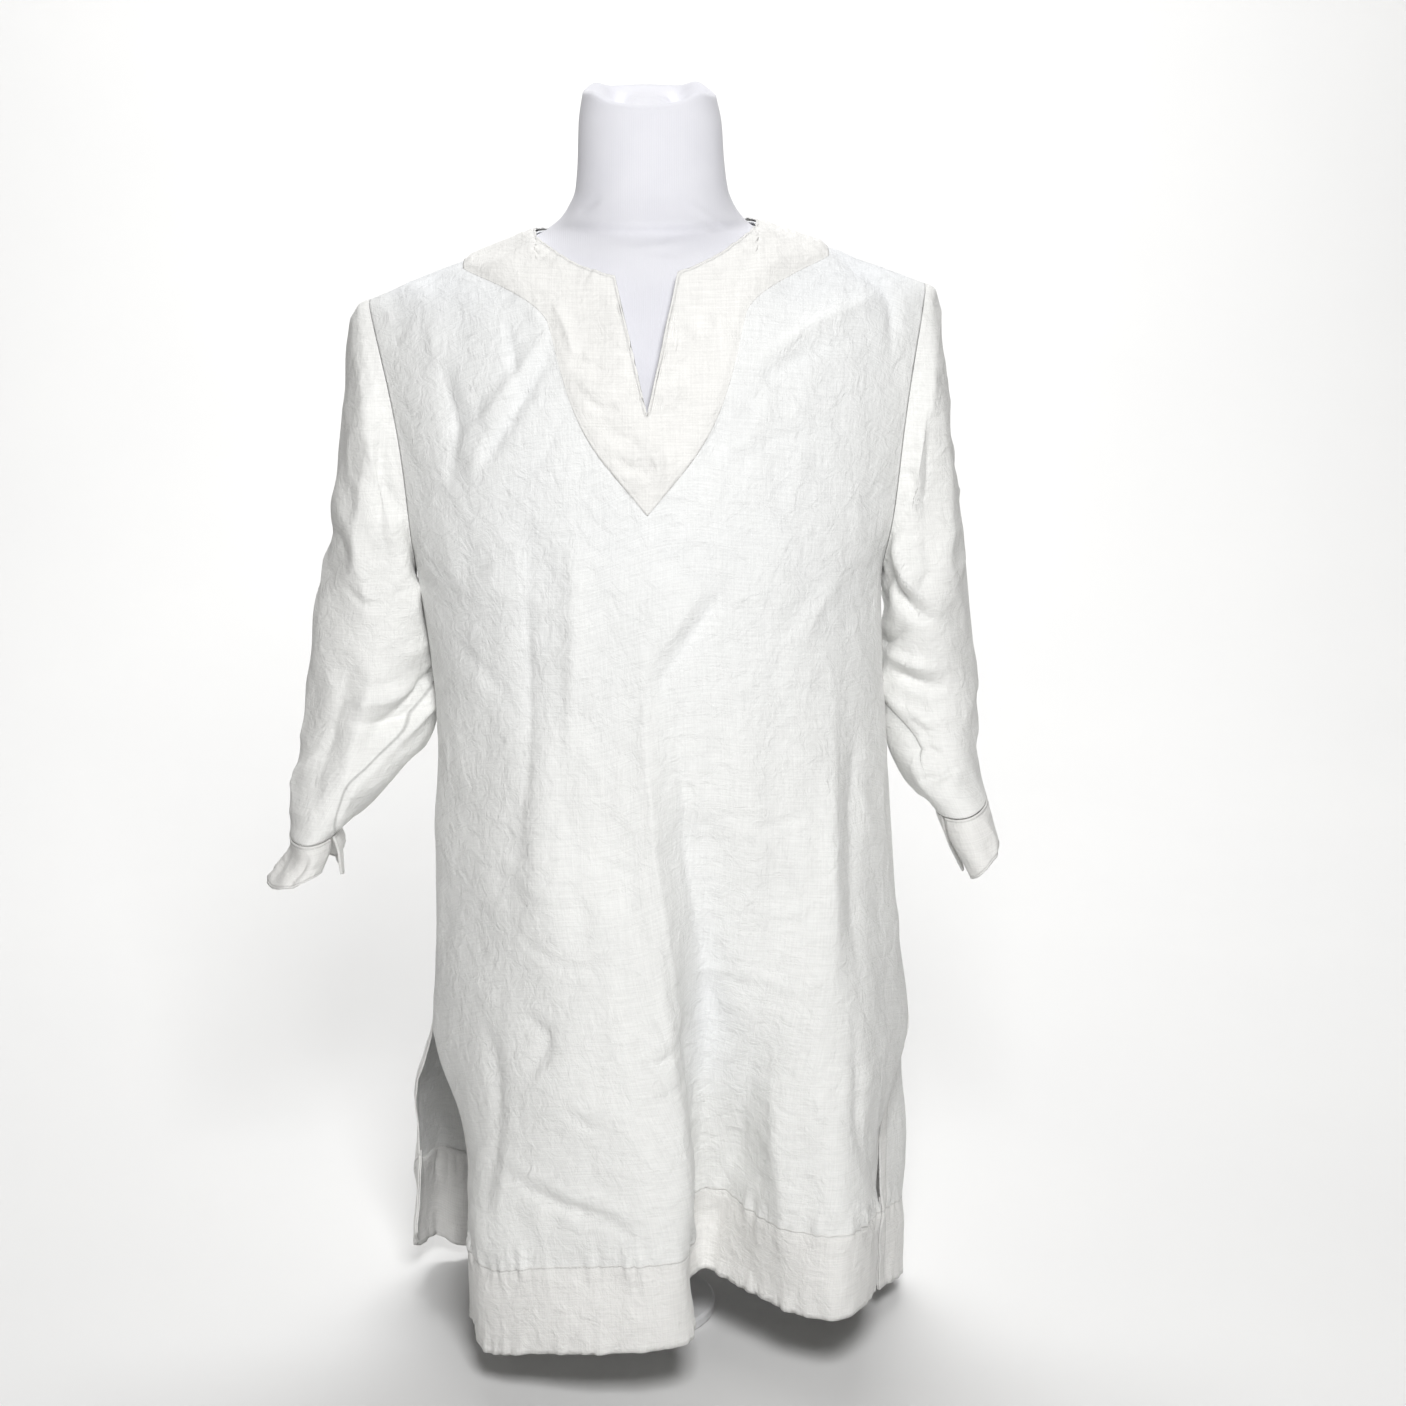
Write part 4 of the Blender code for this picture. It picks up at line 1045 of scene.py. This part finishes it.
for side, name in ((-1, "front"), (1, "back")):
    rows = shaped[side][:HEM_ROWS + 1]
    inner = rows - grid_normals(rows) * (PANEL_WALL + LAP_GAP)
    band_piece = mesh_piece("hem_band_" + name, inner, False, linen_doubled)
    store(band_piece, "thread", threads(rows))
    store(band_piece, "near", np.zeros(rows.shape[:2]))
    store(band_piece, "from_edge", np.full(rows.shape[:2], 1.0))
    wall(band_piece, FACING_WALL, -1.0)
    dressed(band_piece, ["hem_facing_" + name])

# %% Hem stitches
STITCH_ROW = 18
STITCH_STEP = 0.0030
STITCH_LENGTH = 0.0022
STITCH_RADIUS = 0.00020


def stitch_line(name, points, normals):
    """A line of short thread capsules that dip into the cloth at both ends."""
    steps = np.concatenate([[0], np.cumsum(np.linalg.norm(np.diff(points, axis=0), axis=1))])
    shape = bmesh.new()
    for place in np.arange(0.004, steps[-1] - 0.004, STITCH_STEP):
        ends = [place + STITCH_LENGTH * s for s in (-0.5, -0.25, 0, 0.25, 0.5)]
        line = np.array([[np.interp(e, steps, points[:, k]) for k in range(3)] for e in ends])
        out = np.array([np.interp(place, steps, normals[:, k]) for k in range(3)])
        across = np.cross(out, line[-1] - line[0])
        across /= np.linalg.norm(across)
        rings = []
        for middle, size, dip in zip(line, (0.3, 0.9, 1.0, 0.9, 0.3), (-1.2, 0.2, 0.6, 0.2, -1.2)):
            ring = [middle + STITCH_RADIUS * (dip * out + size * (math.cos(a) * across + math.sin(a) * out))
                    for a in np.arange(6) * math.pi / 3]
            rings.append([shape.verts.new(p) for p in ring])
        for a, b in zip(rings, rings[1:]):
            for k in range(6):
                shape.faces.new((a[k], a[(k + 1) % 6], b[(k + 1) % 6], b[k]))
        shape.faces.new(rings[0][::-1])
        shape.faces.new(rings[-1])
    mesh = bpy.data.meshes.new(name)
    shape.to_mesh(mesh)
    shape.free()
    mesh.materials.append(linen_doubled)
    mesh.shade_smooth()
    piece = bpy.data.objects.new(name, mesh)
    bpy.context.scene.collection.objects.link(piece)
    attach(piece, "root")


for side, name in ((-1, "front"), (1, "back")):
    stitch_line("hem_stitches_" + name, shaped[side][STITCH_ROW], grid_normals(shaped[side])[STITCH_ROW])
print("hem stitches every", STITCH_STEP * 1000, "mm")

# %% Neck facing
# Soft creases of the pointed bib: points (x, height), half width, rise
BIB_CREASES = [
    ([(-0.052, 0.806), (-0.040, 0.798), (-0.027, 0.796)], 0.009, -0.0022),
    ([(-0.046, 0.790), (-0.034, 0.783), (-0.020, 0.785)], 0.008, 0.0018),
    ([(-0.042, 0.776), (-0.030, 0.770), (-0.017, 0.772)], 0.007, -0.0020),
    ([(0.012, 0.761), (0.026, 0.768), (0.041, 0.769)], 0.008, -0.0020),
    ([(0.010, 0.775), (0.024, 0.781), (0.040, 0.781)], 0.008, 0.0016),
    ([(-0.031, 0.758), (-0.016, 0.748), (-0.002, 0.747)], 0.008, -0.0020),
    ([(0.018, 0.827), (0.030, 0.822), (0.041, 0.816)], 0.009, 0.0018),
    ([(0.019, 0.798), (0.034, 0.803), (0.050, 0.802)], 0.008, -0.0018),
    ([(-0.024, 0.736), (-0.010, 0.728), (0.005, 0.725)], 0.008, -0.0020),
    ([(0.002, 0.745), (0.010, 0.733), (0.012, 0.718)], 0.008, 0.0018),
    ([(-0.066, 0.842), (-0.056, 0.826), (-0.050, 0.806)], 0.010, 0.0018),
    ([(0.062, 0.846), (0.056, 0.826), (0.052, 0.806)], 0.010, -0.0018),
]
for side, name in ((-1, "front"), (1, "back")):
    reaches = np.array([column_reach(u) for u in COLUMNS])
    reaches = reaches if side < 0 else reaches[::-1]
    used = np.where(reaches <= BAND_END_REACH + 1e-6)[0]
    grid = finer(shaped[side][FACING_ROW:, used])
    normal = grid_normals(grid)
    far_in, run_in = row_distance(grid, grid[-1])
    far_out = row_distance(grid, grid[0])[0]
    puckers = np.abs(swell(np.stack([run_in, far_in * 0.12], -1), 0.013, 31)) * np.exp(-(far_in / 0.012) ** 2)
    own = crumpled(grid, 35, 0.0018 if side < 0 else 0.0004)
    if side < 0:
        own += 2.0 * crease_field(grid[:, :, [0, 2]], BIB_CREASES)
    shoulders = [grid[-1][grid[-1][:, 0] * end > MIDDLE_X * end + NECK_POINT_REACH - 0.0005] for end in (-1, 1)]
    seat = smooth(np.minimum(*[row_distance(grid, seam)[0] for seam in shoulders]) / 0.012)
    seat = seat * smooth(panel_measures(grid)["from_side"] / 0.008)
    lift = mix(-0.0004, 0.0006, smooth(far_out / 0.006)) + 0.0012 * puckers * seat
    lift += np.maximum(own + 0.0018, 0) * smooth(far_out / 0.016) * mix(0.3, 1.0, smooth(far_in / 0.010)) * seat
    raised = grid + normal * lift[:, :, None]
    facing = mesh_piece("neck_facing_" + name + "_cloth", raised, False, linen_doubled)
    store(facing, "thread", grid[:, :, [0, 2, 1]])
    store(facing, "near", np.zeros(grid.shape[:2]))
    store(facing, "from_edge", far_in)
    wall(facing, FACING_WALL * 0.6, 1.0)
    dressed(facing, ["neck_facing_" + name])

# %% [markdown]
# ## Sleeves
# Each sleeve is one piece, sewn into the armhole and closed under the arm. It hangs straight
# for a while, then swings out to the narrow cuff. Rings across it, read from a table of its
# outer and inner sides, make the tube, and creases are laid on it by place round and down.

# %% Measures of the sleeves
# x and height of the outer side, x and height of the inner side, y of the middle, half depth
SLEEVE_LEFT = [
    (0.2175, 0.8285, 0.1800, 0.6225, 0.000, 0.0480), (0.2225, 0.8130, 0.1815, 0.6160, 0.002, 0.0500),
    (0.2275, 0.7850, 0.1800, 0.6070, 0.005, 0.0510), (0.2320, 0.7420, 0.1765, 0.5960, 0.010, 0.0520),
    (0.2385, 0.6940, 0.1715, 0.5820, 0.015, 0.0520), (0.2480, 0.6400, 0.1665, 0.5640, 0.020, 0.0510),
    (0.2580, 0.5820, 0.1645, 0.5430, 0.023, 0.0510), (0.2645, 0.5280, 0.1625, 0.5200, 0.023, 0.0505),
    (0.2690, 0.4940, 0.1670, 0.4930, 0.018, 0.0500), (0.2740, 0.4680, 0.1870, 0.4690, 0.010, 0.0500),
    (0.2775, 0.4450, 0.2130, 0.4480, 0.000, 0.0500), (0.2785, 0.4220, 0.2400, 0.4240, -0.010, 0.0510),
]
SLEEVE_RIGHT = [
    (0.2240, 0.8400, 0.1895, 0.6225, 0.000, 0.0480), (0.2280, 0.8270, 0.1910, 0.6150, 0.002, 0.0500),
    (0.2315, 0.8000, 0.1905, 0.6080, 0.005, 0.0510), (0.2360, 0.7600, 0.1895, 0.5990, 0.010, 0.0520),
    (0.2395, 0.7080, 0.1872, 0.5840, 0.015, 0.0520), (0.2470, 0.6490, 0.1848, 0.5650, 0.020, 0.0510),
    (0.2555, 0.5950, 0.1840, 0.5460, 0.023, 0.0510), (0.2620, 0.5350, 0.1855, 0.5230, 0.023, 0.0505),
    (0.2630, 0.4950, 0.1935, 0.4840, 0.018, 0.0500), (0.2645, 0.4720, 0.2035, 0.4610, 0.010, 0.0500),
    (0.2665, 0.4570, 0.2160, 0.4470, 0.000, 0.0500), (0.2680, 0.4480, 0.2275, 0.4370, -0.010, 0.0500),
]
SLEEVE_HEAD = [(0.005, 0.0018, 0.0), (0.009, 0.0050, 0.5)]
# Broad folds: ring, place round in degrees, half length, half width, climb, rise
SLEEVE_FOLDS = [
    (5.0, 70, 1.6, 60, 0.010, 0.0045), (7.5, 120, 1.2, 50, -0.014, -0.0040),
    (9.0, 90, 1.0, 60, 0.012, 0.0035), (6.0, 270, 1.5, 60, -0.010, 0.0045),
    (8.5, 300, 1.2, 60, 0.012, -0.0035),
]
SLEEVE_RADIUS = 0.048
SLEEVE_CREASE_STRENGTH = 1.7
# Creases of each sleeve's front: points (x, height), half width, rise
SLEEVE_CREASES = {
    -1: [
        ([(-0.2066, 0.569), (-0.2218, 0.506), (-0.2390, 0.445)], 0.018, 0.0036),
        ([(-0.2260, 0.560), (-0.2420, 0.506), (-0.2560, 0.450)], 0.014, -0.0020),
        ([(-0.2260, 0.526), (-0.1980, 0.530), (-0.1700, 0.536)], 0.014, 0.0050),
        ([(-0.2260, 0.511), (-0.1960, 0.511), (-0.1757, 0.517)], 0.009, -0.0050),
        ([(-0.2146, 0.498), (-0.1800, 0.530), (-0.1460, 0.560)], 0.009, -0.0040),
        ([(-0.2080, 0.483), (-0.1720, 0.513), (-0.1430, 0.543)], 0.010, 0.0036),
        ([(-0.1650, 0.5435), (-0.1560, 0.534), (-0.1470, 0.521)], 0.008, -0.0040),
        ([(-0.1860, 0.760), (-0.2000, 0.700), (-0.1960, 0.640)], 0.014, -0.0026),
        ([(-0.2100, 0.730), (-0.2160, 0.660), (-0.2120, 0.590)], 0.014, 0.0026),
        ([(-0.1700, 0.700), (-0.1800, 0.686), (-0.1900, 0.690)], 0.007, -0.0022),
        ([(-0.1640, 0.650), (-0.1780, 0.610), (-0.1720, 0.570)], 0.011, 0.0030),
        ([(-0.2300, 0.620), (-0.2120, 0.606), (-0.1960, 0.612)], 0.007, -0.0018),
        ([(-0.1740, 0.700), (-0.1650, 0.630), (-0.1520, 0.570)], 0.014, -0.0090),
    ],
    1: [
        ([(0.1886, 0.658), (0.1980, 0.634), (0.2110, 0.615), (0.2280, 0.606)], 0.009, 0.0052),
        ([(0.1830, 0.642), (0.1920, 0.618), (0.2070, 0.600), (0.2240, 0.592)], 0.009, -0.0050),
        ([(0.2030, 0.585), (0.1850, 0.565), (0.1830, 0.551)], 0.007, -0.0038),
        ([(0.1860, 0.560), (0.2110, 0.554), (0.2380, 0.552)], 0.009, 0.0036),
        ([(0.1860, 0.547), (0.2110, 0.540), (0.2380, 0.537)], 0.009, -0.0050),
        ([(0.2050, 0.4850), (0.2200, 0.4880), (0.2340, 0.4840)], 0.005, -0.0026),
        ([(0.2124, 0.4640), (0.2270, 0.4680), (0.2440, 0.4760)], 0.006, -0.0030),
        ([(0.2000, 0.520), (0.2160, 0.510), (0.2380, 0.512)], 0.008, 0.0026),
        ([(0.2100, 0.780), (0.2180, 0.720), (0.2140, 0.660)], 0.013, -0.0028),
        ([(0.2260, 0.760), (0.2320, 0.690), (0.2280, 0.630)], 0.012, 0.0026),
        ([(0.1960, 0.720), (0.2060, 0.690), (0.2180, 0.684)], 0.008, -0.0022),
        ([(0.1850, 0.664), (0.1790, 0.630), (0.1820, 0.590)], 0.013, -0.0120),
    ],
}


# The underarm seam where it turns to the front: points (x, height)
SLEEVE_SEAMS = {
    -1: [(-0.1480, 0.552), (-0.1634, 0.5366), (-0.1760, 0.5200), (-0.1872, 0.5035), (-0.2110, 0.482),
         (-0.2320, 0.462), (-0.2400, 0.432)],
    1: [(0.1720, 0.554), (0.1820, 0.528), (0.1960, 0.508), (0.2095, 0.492), (0.2124, 0.4835)],
}


# %% Sleeves
def ring_angles(ring, front_count):
    """Angle of each armhole point: 0 at the shoulder, 180 at the underarm, front first."""
    closed = np.vstack([ring, ring[:1]])
    lengths = np.concatenate([[0], np.cumsum(np.linalg.norm(np.diff(closed, axis=0), axis=1))])
    top, total = lengths[front_count - 1], lengths[-1]
    lengths = lengths[:-1]
    order = np.arange(len(ring))
    return np.where(order < front_count, np.pi * (1 - lengths / top),
                    -np.pi * (lengths - top) / (total - top))


def tube_ring(row, sign, angles):
    """A slanting ring that is given by its outer and its inner side."""
    outer_x, outer_z, inner_x, inner_z, middle_y, half_depth = row
    across, up = (outer_x - inner_x) / 2, (outer_z - inner_z) / 2
    x = (outer_x + inner_x) / 2 + across * np.cos(angles)
    z = (outer_z + inner_z) / 2 + up * np.cos(angles)
    return np.stack([sign * x, middle_y - half_depth * np.sin(angles), z], axis=1)


def smooth_rows(rows, parts):
    """Rows on smooth curves between a few rows."""
    p = np.concatenate([[2 * rows[0] - rows[1]], rows, [2 * rows[-1] - rows[-2]]])
    found = []
    for k in range(1, len(p) - 2):
        for t in np.arange(parts) / parts:
            found.append(0.5 * (2 * p[k] + (p[k + 1] - p[k - 1]) * t
                                + (2 * p[k - 1] - 5 * p[k] + 4 * p[k + 1] - p[k + 2]) * t ** 2
                                + (3 * p[k] - p[k - 1] - 3 * p[k + 1] + p[k + 2]) * t ** 3))
    return np.array(found + [p[-2]])


def broad_folds(ring, degrees):
    rise = np.zeros(degrees.shape)
    for middle, place, half_length, half_width, climb, height in SLEEVE_FOLDS:
        off = (degrees - place + 180) % 360 - 180
        length = (ring - middle - off * climb) / half_length
        inside = (np.abs(off) < half_width) & (np.abs(length) < 1)
        shape = np.cos(off / half_width * np.pi / 2) * np.cos(length * np.pi / 2)
        rise += np.where(inside, height * shape ** 2, 0)
    return rise


def armhole_ring(sign):
    front = shaped[-1][UNDERARM_ROW:, -1 if sign > 0 else 0]
    back = shaped[1][UNDERARM_ROW:, 0 if sign > 0 else -1]
    ring = np.vstack([front, back[-2:0:-1]])
    ring[:, 0] += sign * SEAM_GAP
    ring[[0, len(front) - 1], 1] = 0.0
    return ring, len(front)


# How far the sleeve's inner side is drawn to the body, ring by ring from the armhole
UNDERARM_PULL = {-1: (0.004, 0.0055, 0.005, 0.0055, 0.004, 0.0015), 1: (0.004, 0.0055, 0.0045, 0.004, 0.0025, 0.0)}
ROWS_PER_RING = 13
for sign, name, table in ((-1, "left", SLEEVE_LEFT), (1, "right", SLEEVE_RIGHT)):
    ring, front_count = armhole_ring(sign)
    angles = ring_angles(ring, front_count)
    rows = [ring]
    for step, drop, share in SLEEVE_HEAD:
        moved = ring + np.array([sign * step, 0, -drop])
        rows.append(mix(moved, tube_ring(table[0], sign, angles), share))
    rows += [tube_ring(row, sign, angles) for row in table[1:]]
    inner = smooth((-np.cos(angles) - 0.2) / 0.6)
    for row, pull in zip(rows[1:], UNDERARM_PULL[sign]):
        row[:, 0] -= sign * pull * inner
    grid = smooth_rows(np.array(rows), ROWS_PER_RING)
    if sign > 0:
        grid = grid[:, ::-1]
        angles = angles[::-1]
    down = arc_lengths(grid, 0)
    ring_number = np.arange(len(grid))[:, None] / ROWS_PER_RING - 2 + 0 * down
    fade = smooth(down / 0.02) * smooth((down[-1:] - down) / 0.02)
    rise = broad_folds(ring_number, np.degrees(angles)[None, :] % 360 + 0 * down)
    front_share = smooth(0.5 + 2 * np.sin(angles))[None, :]
    flat = grid[:, :, [0, 2]]
    rise += SLEEVE_CREASE_STRENGTH * crease_field(flat, SLEEVE_CREASES[sign]) * front_share
    rise -= crease_field(flat + (0, 0.02), SLEEVE_CREASES[sign][:6]) * (1 - front_share)
    rise += crumpled(grid, 130 + sign, 0.0025)
    seam_line = smooth_line(SLEEVE_SEAMS[sign])
    from_seam = signed_distance(flat.reshape(-1, 2), seam_line).reshape(down.shape) * (1 + 99 * (1 - front_share))
    rise += 0.0014 * np.exp(-((from_seam - 0.005) / 0.004) ** 2) - 0.0014 * np.exp(-((from_seam + 0.001) / 0.003) ** 2)
    middles = np.array(table)
    middle_x = sign * (np.interp(grid[:, :, 2], middles[::-1, 1], middles[::-1, 0])
                       + np.interp(grid[:, :, 2], middles[::-1, 3], middles[::-1, 2])) / 2
    around = SLEEVE_RADIUS * np.arctan2(grid[:, :, 0] - middle_x, -grid[:, :, 1])
    thread = np.stack([around, grid[:, :, 2], 0 * down], axis=2)
    grid = grid + grid_normals(grid, closed=True) * (rise * fade)[:, :, None]
    sleeve = mesh_piece("sleeve_" + name + "_cloth", grid, True, linen_sleeve)
    store(sleeve, "thread", thread)
    store(sleeve, "from_seam", from_seam)
    store(sleeve, "near", np.zeros(down.shape))
    wall(sleeve, PANEL_WALL, -1.0)
    dressed(sleeve, ["sleeve_" + name])

# %% [markdown]
# ## Cuffs
# A narrow cuff of doubled linen ends each sleeve. It is open at the seam, so its corners kick
# out. The same slanting rings make it, left open between the two edges of the slit.

# %% Cuffs
CUFF_LEFT = [(0.2790, 0.4209, 0.2397, 0.4229, -0.0103, 0.0512), (0.2815, 0.4050, 0.2395, 0.4050, -0.0120, 0.0515),
             (0.2985, 0.3850, 0.2415, 0.3900, -0.0140, 0.0520)]
CUFF_RIGHT = [(0.2685, 0.4469, 0.2281, 0.4359, -0.0103, 0.0502), (0.2725, 0.4280, 0.2370, 0.4120, -0.0120, 0.0510),
              (0.2780, 0.4070, 0.2490, 0.3870, -0.0140, 0.0520)]
CUFF_SLIT_TOP = (142.0, 150.0)
CUFF_SLIT_BOTTOM = (134.0, 172.0)
# Creases of the cuffs: points (distance across from the middle, distance from the edge), half width, rise
CUFF_CREASES = [
    ([(-0.010, 0.004), (0.006, 0.022), (0.012, 0.044)], 0.009, -0.0040),
    ([(-0.050, 0.002), (-0.040, 0.024), (-0.044, 0.044)], 0.010, 0.0034),
    ([(0.040, 0.004), (0.030, 0.022), (0.034, 0.040)], 0.009, -0.0034),
    ([(0.074, 0.004), (0.066, 0.024), (0.070, 0.042)], 0.010, 0.0030),
    ([(-0.086, 0.006), (-0.080, 0.026), (-0.090, 0.040)], 0.009, -0.0030),
]
CUFF_KICK = 0.009
CUFF_TAB = {-1: 0.009, 1: 0.0}
CUFF_SIDES = 110
CUFF_ROWS_PER_RING = 12
for sign, name, table in ((-1, "left", CUFF_LEFT), (1, "right", CUFF_RIGHT)):
    fine_table = smooth_rows(np.array(table), CUFF_ROWS_PER_RING)
    rows = []
    for k, row in enumerate(fine_table):
        t = k / (len(fine_table) - 1)
        first = mix(CUFF_SLIT_TOP[1], CUFF_SLIT_BOTTOM[1], t)
        last = mix(CUFF_SLIT_TOP[0], CUFF_SLIT_BOTTOM[0], t) + 360
        turns = np.radians(np.linspace(first, last, CUFF_SIDES + 1))
        rows.append(tube_ring(row, sign, turns))
        to_front = smooth(0.5 + 1.2 * np.sin(turns))
        rows[-1][:, 2] += CUFF_KICK * t * smooth(0.5 + 0.6 * sign * np.cos(turns)) * to_front
        tab = (1 - smooth((turns - turns[0]) / 1.1)) * t
        rows[-1] += CUFF_TAB[sign] * np.stack([-0.5 * sign * tab, 0 * tab, -tab], axis=1)
    grid = np.array(rows)
    if sign < 0:
        grid = grid[:, ::-1]
    measures = panel_measures(grid)
    edge = np.minimum(np.minimum(measures["from_hem"], measures["from_top"]), measures["from_side"])
    fade = smooth(measures["from_hem"] / 0.008)
    rise = crumpled(grid, 170 + sign, 0.0020) * fade
    rise += 1.4 * crease_field(np.stack([measures["across"], measures["from_hem"]], -1), CUFF_CREASES) * fade
    grid = grid + grid_normals(grid) * rise[:, :, None]
    cuff = mesh_piece("cuff_" + name + "_cloth", grid, False, linen_doubled)
    store(cuff, "thread", threads(grid))
    store(cuff, "near", np.zeros(grid.shape[:2]))
    store(cuff, "from_edge", edge)
    wall(cuff, CUFF_WALL, -1.0)
    dressed(cuff, ["cuff_" + name])

# %% [markdown]
# ## Stand
# The photograph leaves the stand out, so a plain short pole on a round plate carries the form.
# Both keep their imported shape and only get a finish: white powder-coated steel.


# %% Stand
def coated_steel():
    look, tree, shader = new_material("coated_steel")
    place = add_node(tree, "ShaderNodeTexCoord").outputs["Object"]
    grain = add_node(tree, "ShaderNodeTexNoise", {"Vector": place, "Scale": 900.0, "Detail": 2.0}).outputs["Fac"]
    wear = add_node(tree, "ShaderNodeTexNoise", {"Vector": place, "Scale": 18.0, "Detail": 6.0}).outputs["Fac"]
    share = add_node(tree, "ShaderNodeMapRange", {0: wear, 1: 0.4, 2: 0.7, 3: 0.0, 4: 1.0}).outputs[0]
    tree.links.new(blend_colour(tree, share, (0.80, 0.80, 0.81), (0.74, 0.74, 0.75)), shader.inputs["Base Color"])
    rough = add_node(tree, "ShaderNodeMapRange", {0: wear, 1: 0.3, 2: 0.7, 3: 0.38, 4: 0.55}).outputs[0]
    tree.links.new(rough, shader.inputs["Roughness"])
    bump = add_node(tree, "ShaderNodeBump", {"Height": math_node(tree, "MULTIPLY", grain, 0.00012),
                                             "Strength": 0.5, "Distance": 1.0})
    tree.links.new(bump.outputs[0], shader.inputs["Normal"])
    return look


steel = coated_steel()
for node_name in ("stand_pole", "stand_base"):
    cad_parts[node_name].data.materials.clear()
    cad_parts[node_name].data.materials.append(steel)

# %% [markdown]
# ## Floor and light
# A pale floor that curves up into a wall gives an even background. One large soft light above
# and behind the camera lights the front evenly and lets the sides fall off, as in the photo.


# %% Floor and backdrop
def pale_floor():
    look, tree, shader = new_material("pale_floor")
    place = add_node(tree, "ShaderNodeTexCoord").outputs["Object"]
    cloud = add_node(tree, "ShaderNodeTexNoise", {"Vector": place, "Scale": 3.0, "Detail": 3.0}).outputs["Fac"]
    tree.links.new(blend_colour(tree, cloud, (0.80, 0.80, 0.80), (0.83, 0.83, 0.825)), shader.inputs["Base Color"])
    shader.inputs["Roughness"].default_value = 0.9
    return look


FLOOR_HALF_WIDTH = 7.0
WALL_Y = 3.0
BEND = 1.5
profile = [(-7.0, 0.0), (WALL_Y - BEND, 0.0)]
profile += [(WALL_Y - BEND + BEND * math.sin(a), BEND * (1 - math.cos(a)))
            for a in np.linspace(0, math.pi / 2, 25)[1:]]
profile += [(WALL_Y, 6.0)]
floor_grid = np.array([[(x, y, z) for x in (-FLOOR_HALF_WIDTH, FLOOR_HALF_WIDTH)] for y, z in profile])
floor = mesh_piece("floor", floor_grid, False, pale_floor())


# %% Lights
def soft_light(name, place, target, size, watts):
    data = bpy.data.lights.new(name, "AREA")
    data.shape = "SQUARE"
    data.size = size
    data.energy = watts
    lamp = bpy.data.objects.new(name, data)
    lamp.location = place
    lamp.rotation_euler = (Vector(target) - Vector(place)).to_track_quat("-Z", "Y").to_euler()
    bpy.context.scene.collection.objects.link(lamp)


soft_light("front_light", (0.18, -2.2, 1.90), (0, 0, 0.55), 0.6, 56.0)
soft_light("wall_light", (0.0, 1.2, 3.0), (0, 3.0, 0.6), 1.8, 85.0)
world = bpy.data.worlds.new("studio")
bpy.context.scene.world = world
world.use_nodes = True
world.node_tree.nodes["Background"].inputs["Color"].default_value = (1.0, 0.955, 0.87, 1.0)
world.node_tree.nodes["Background"].inputs["Strength"].default_value = 0.08
bpy.context.scene.view_settings.view_transform = "Standard"
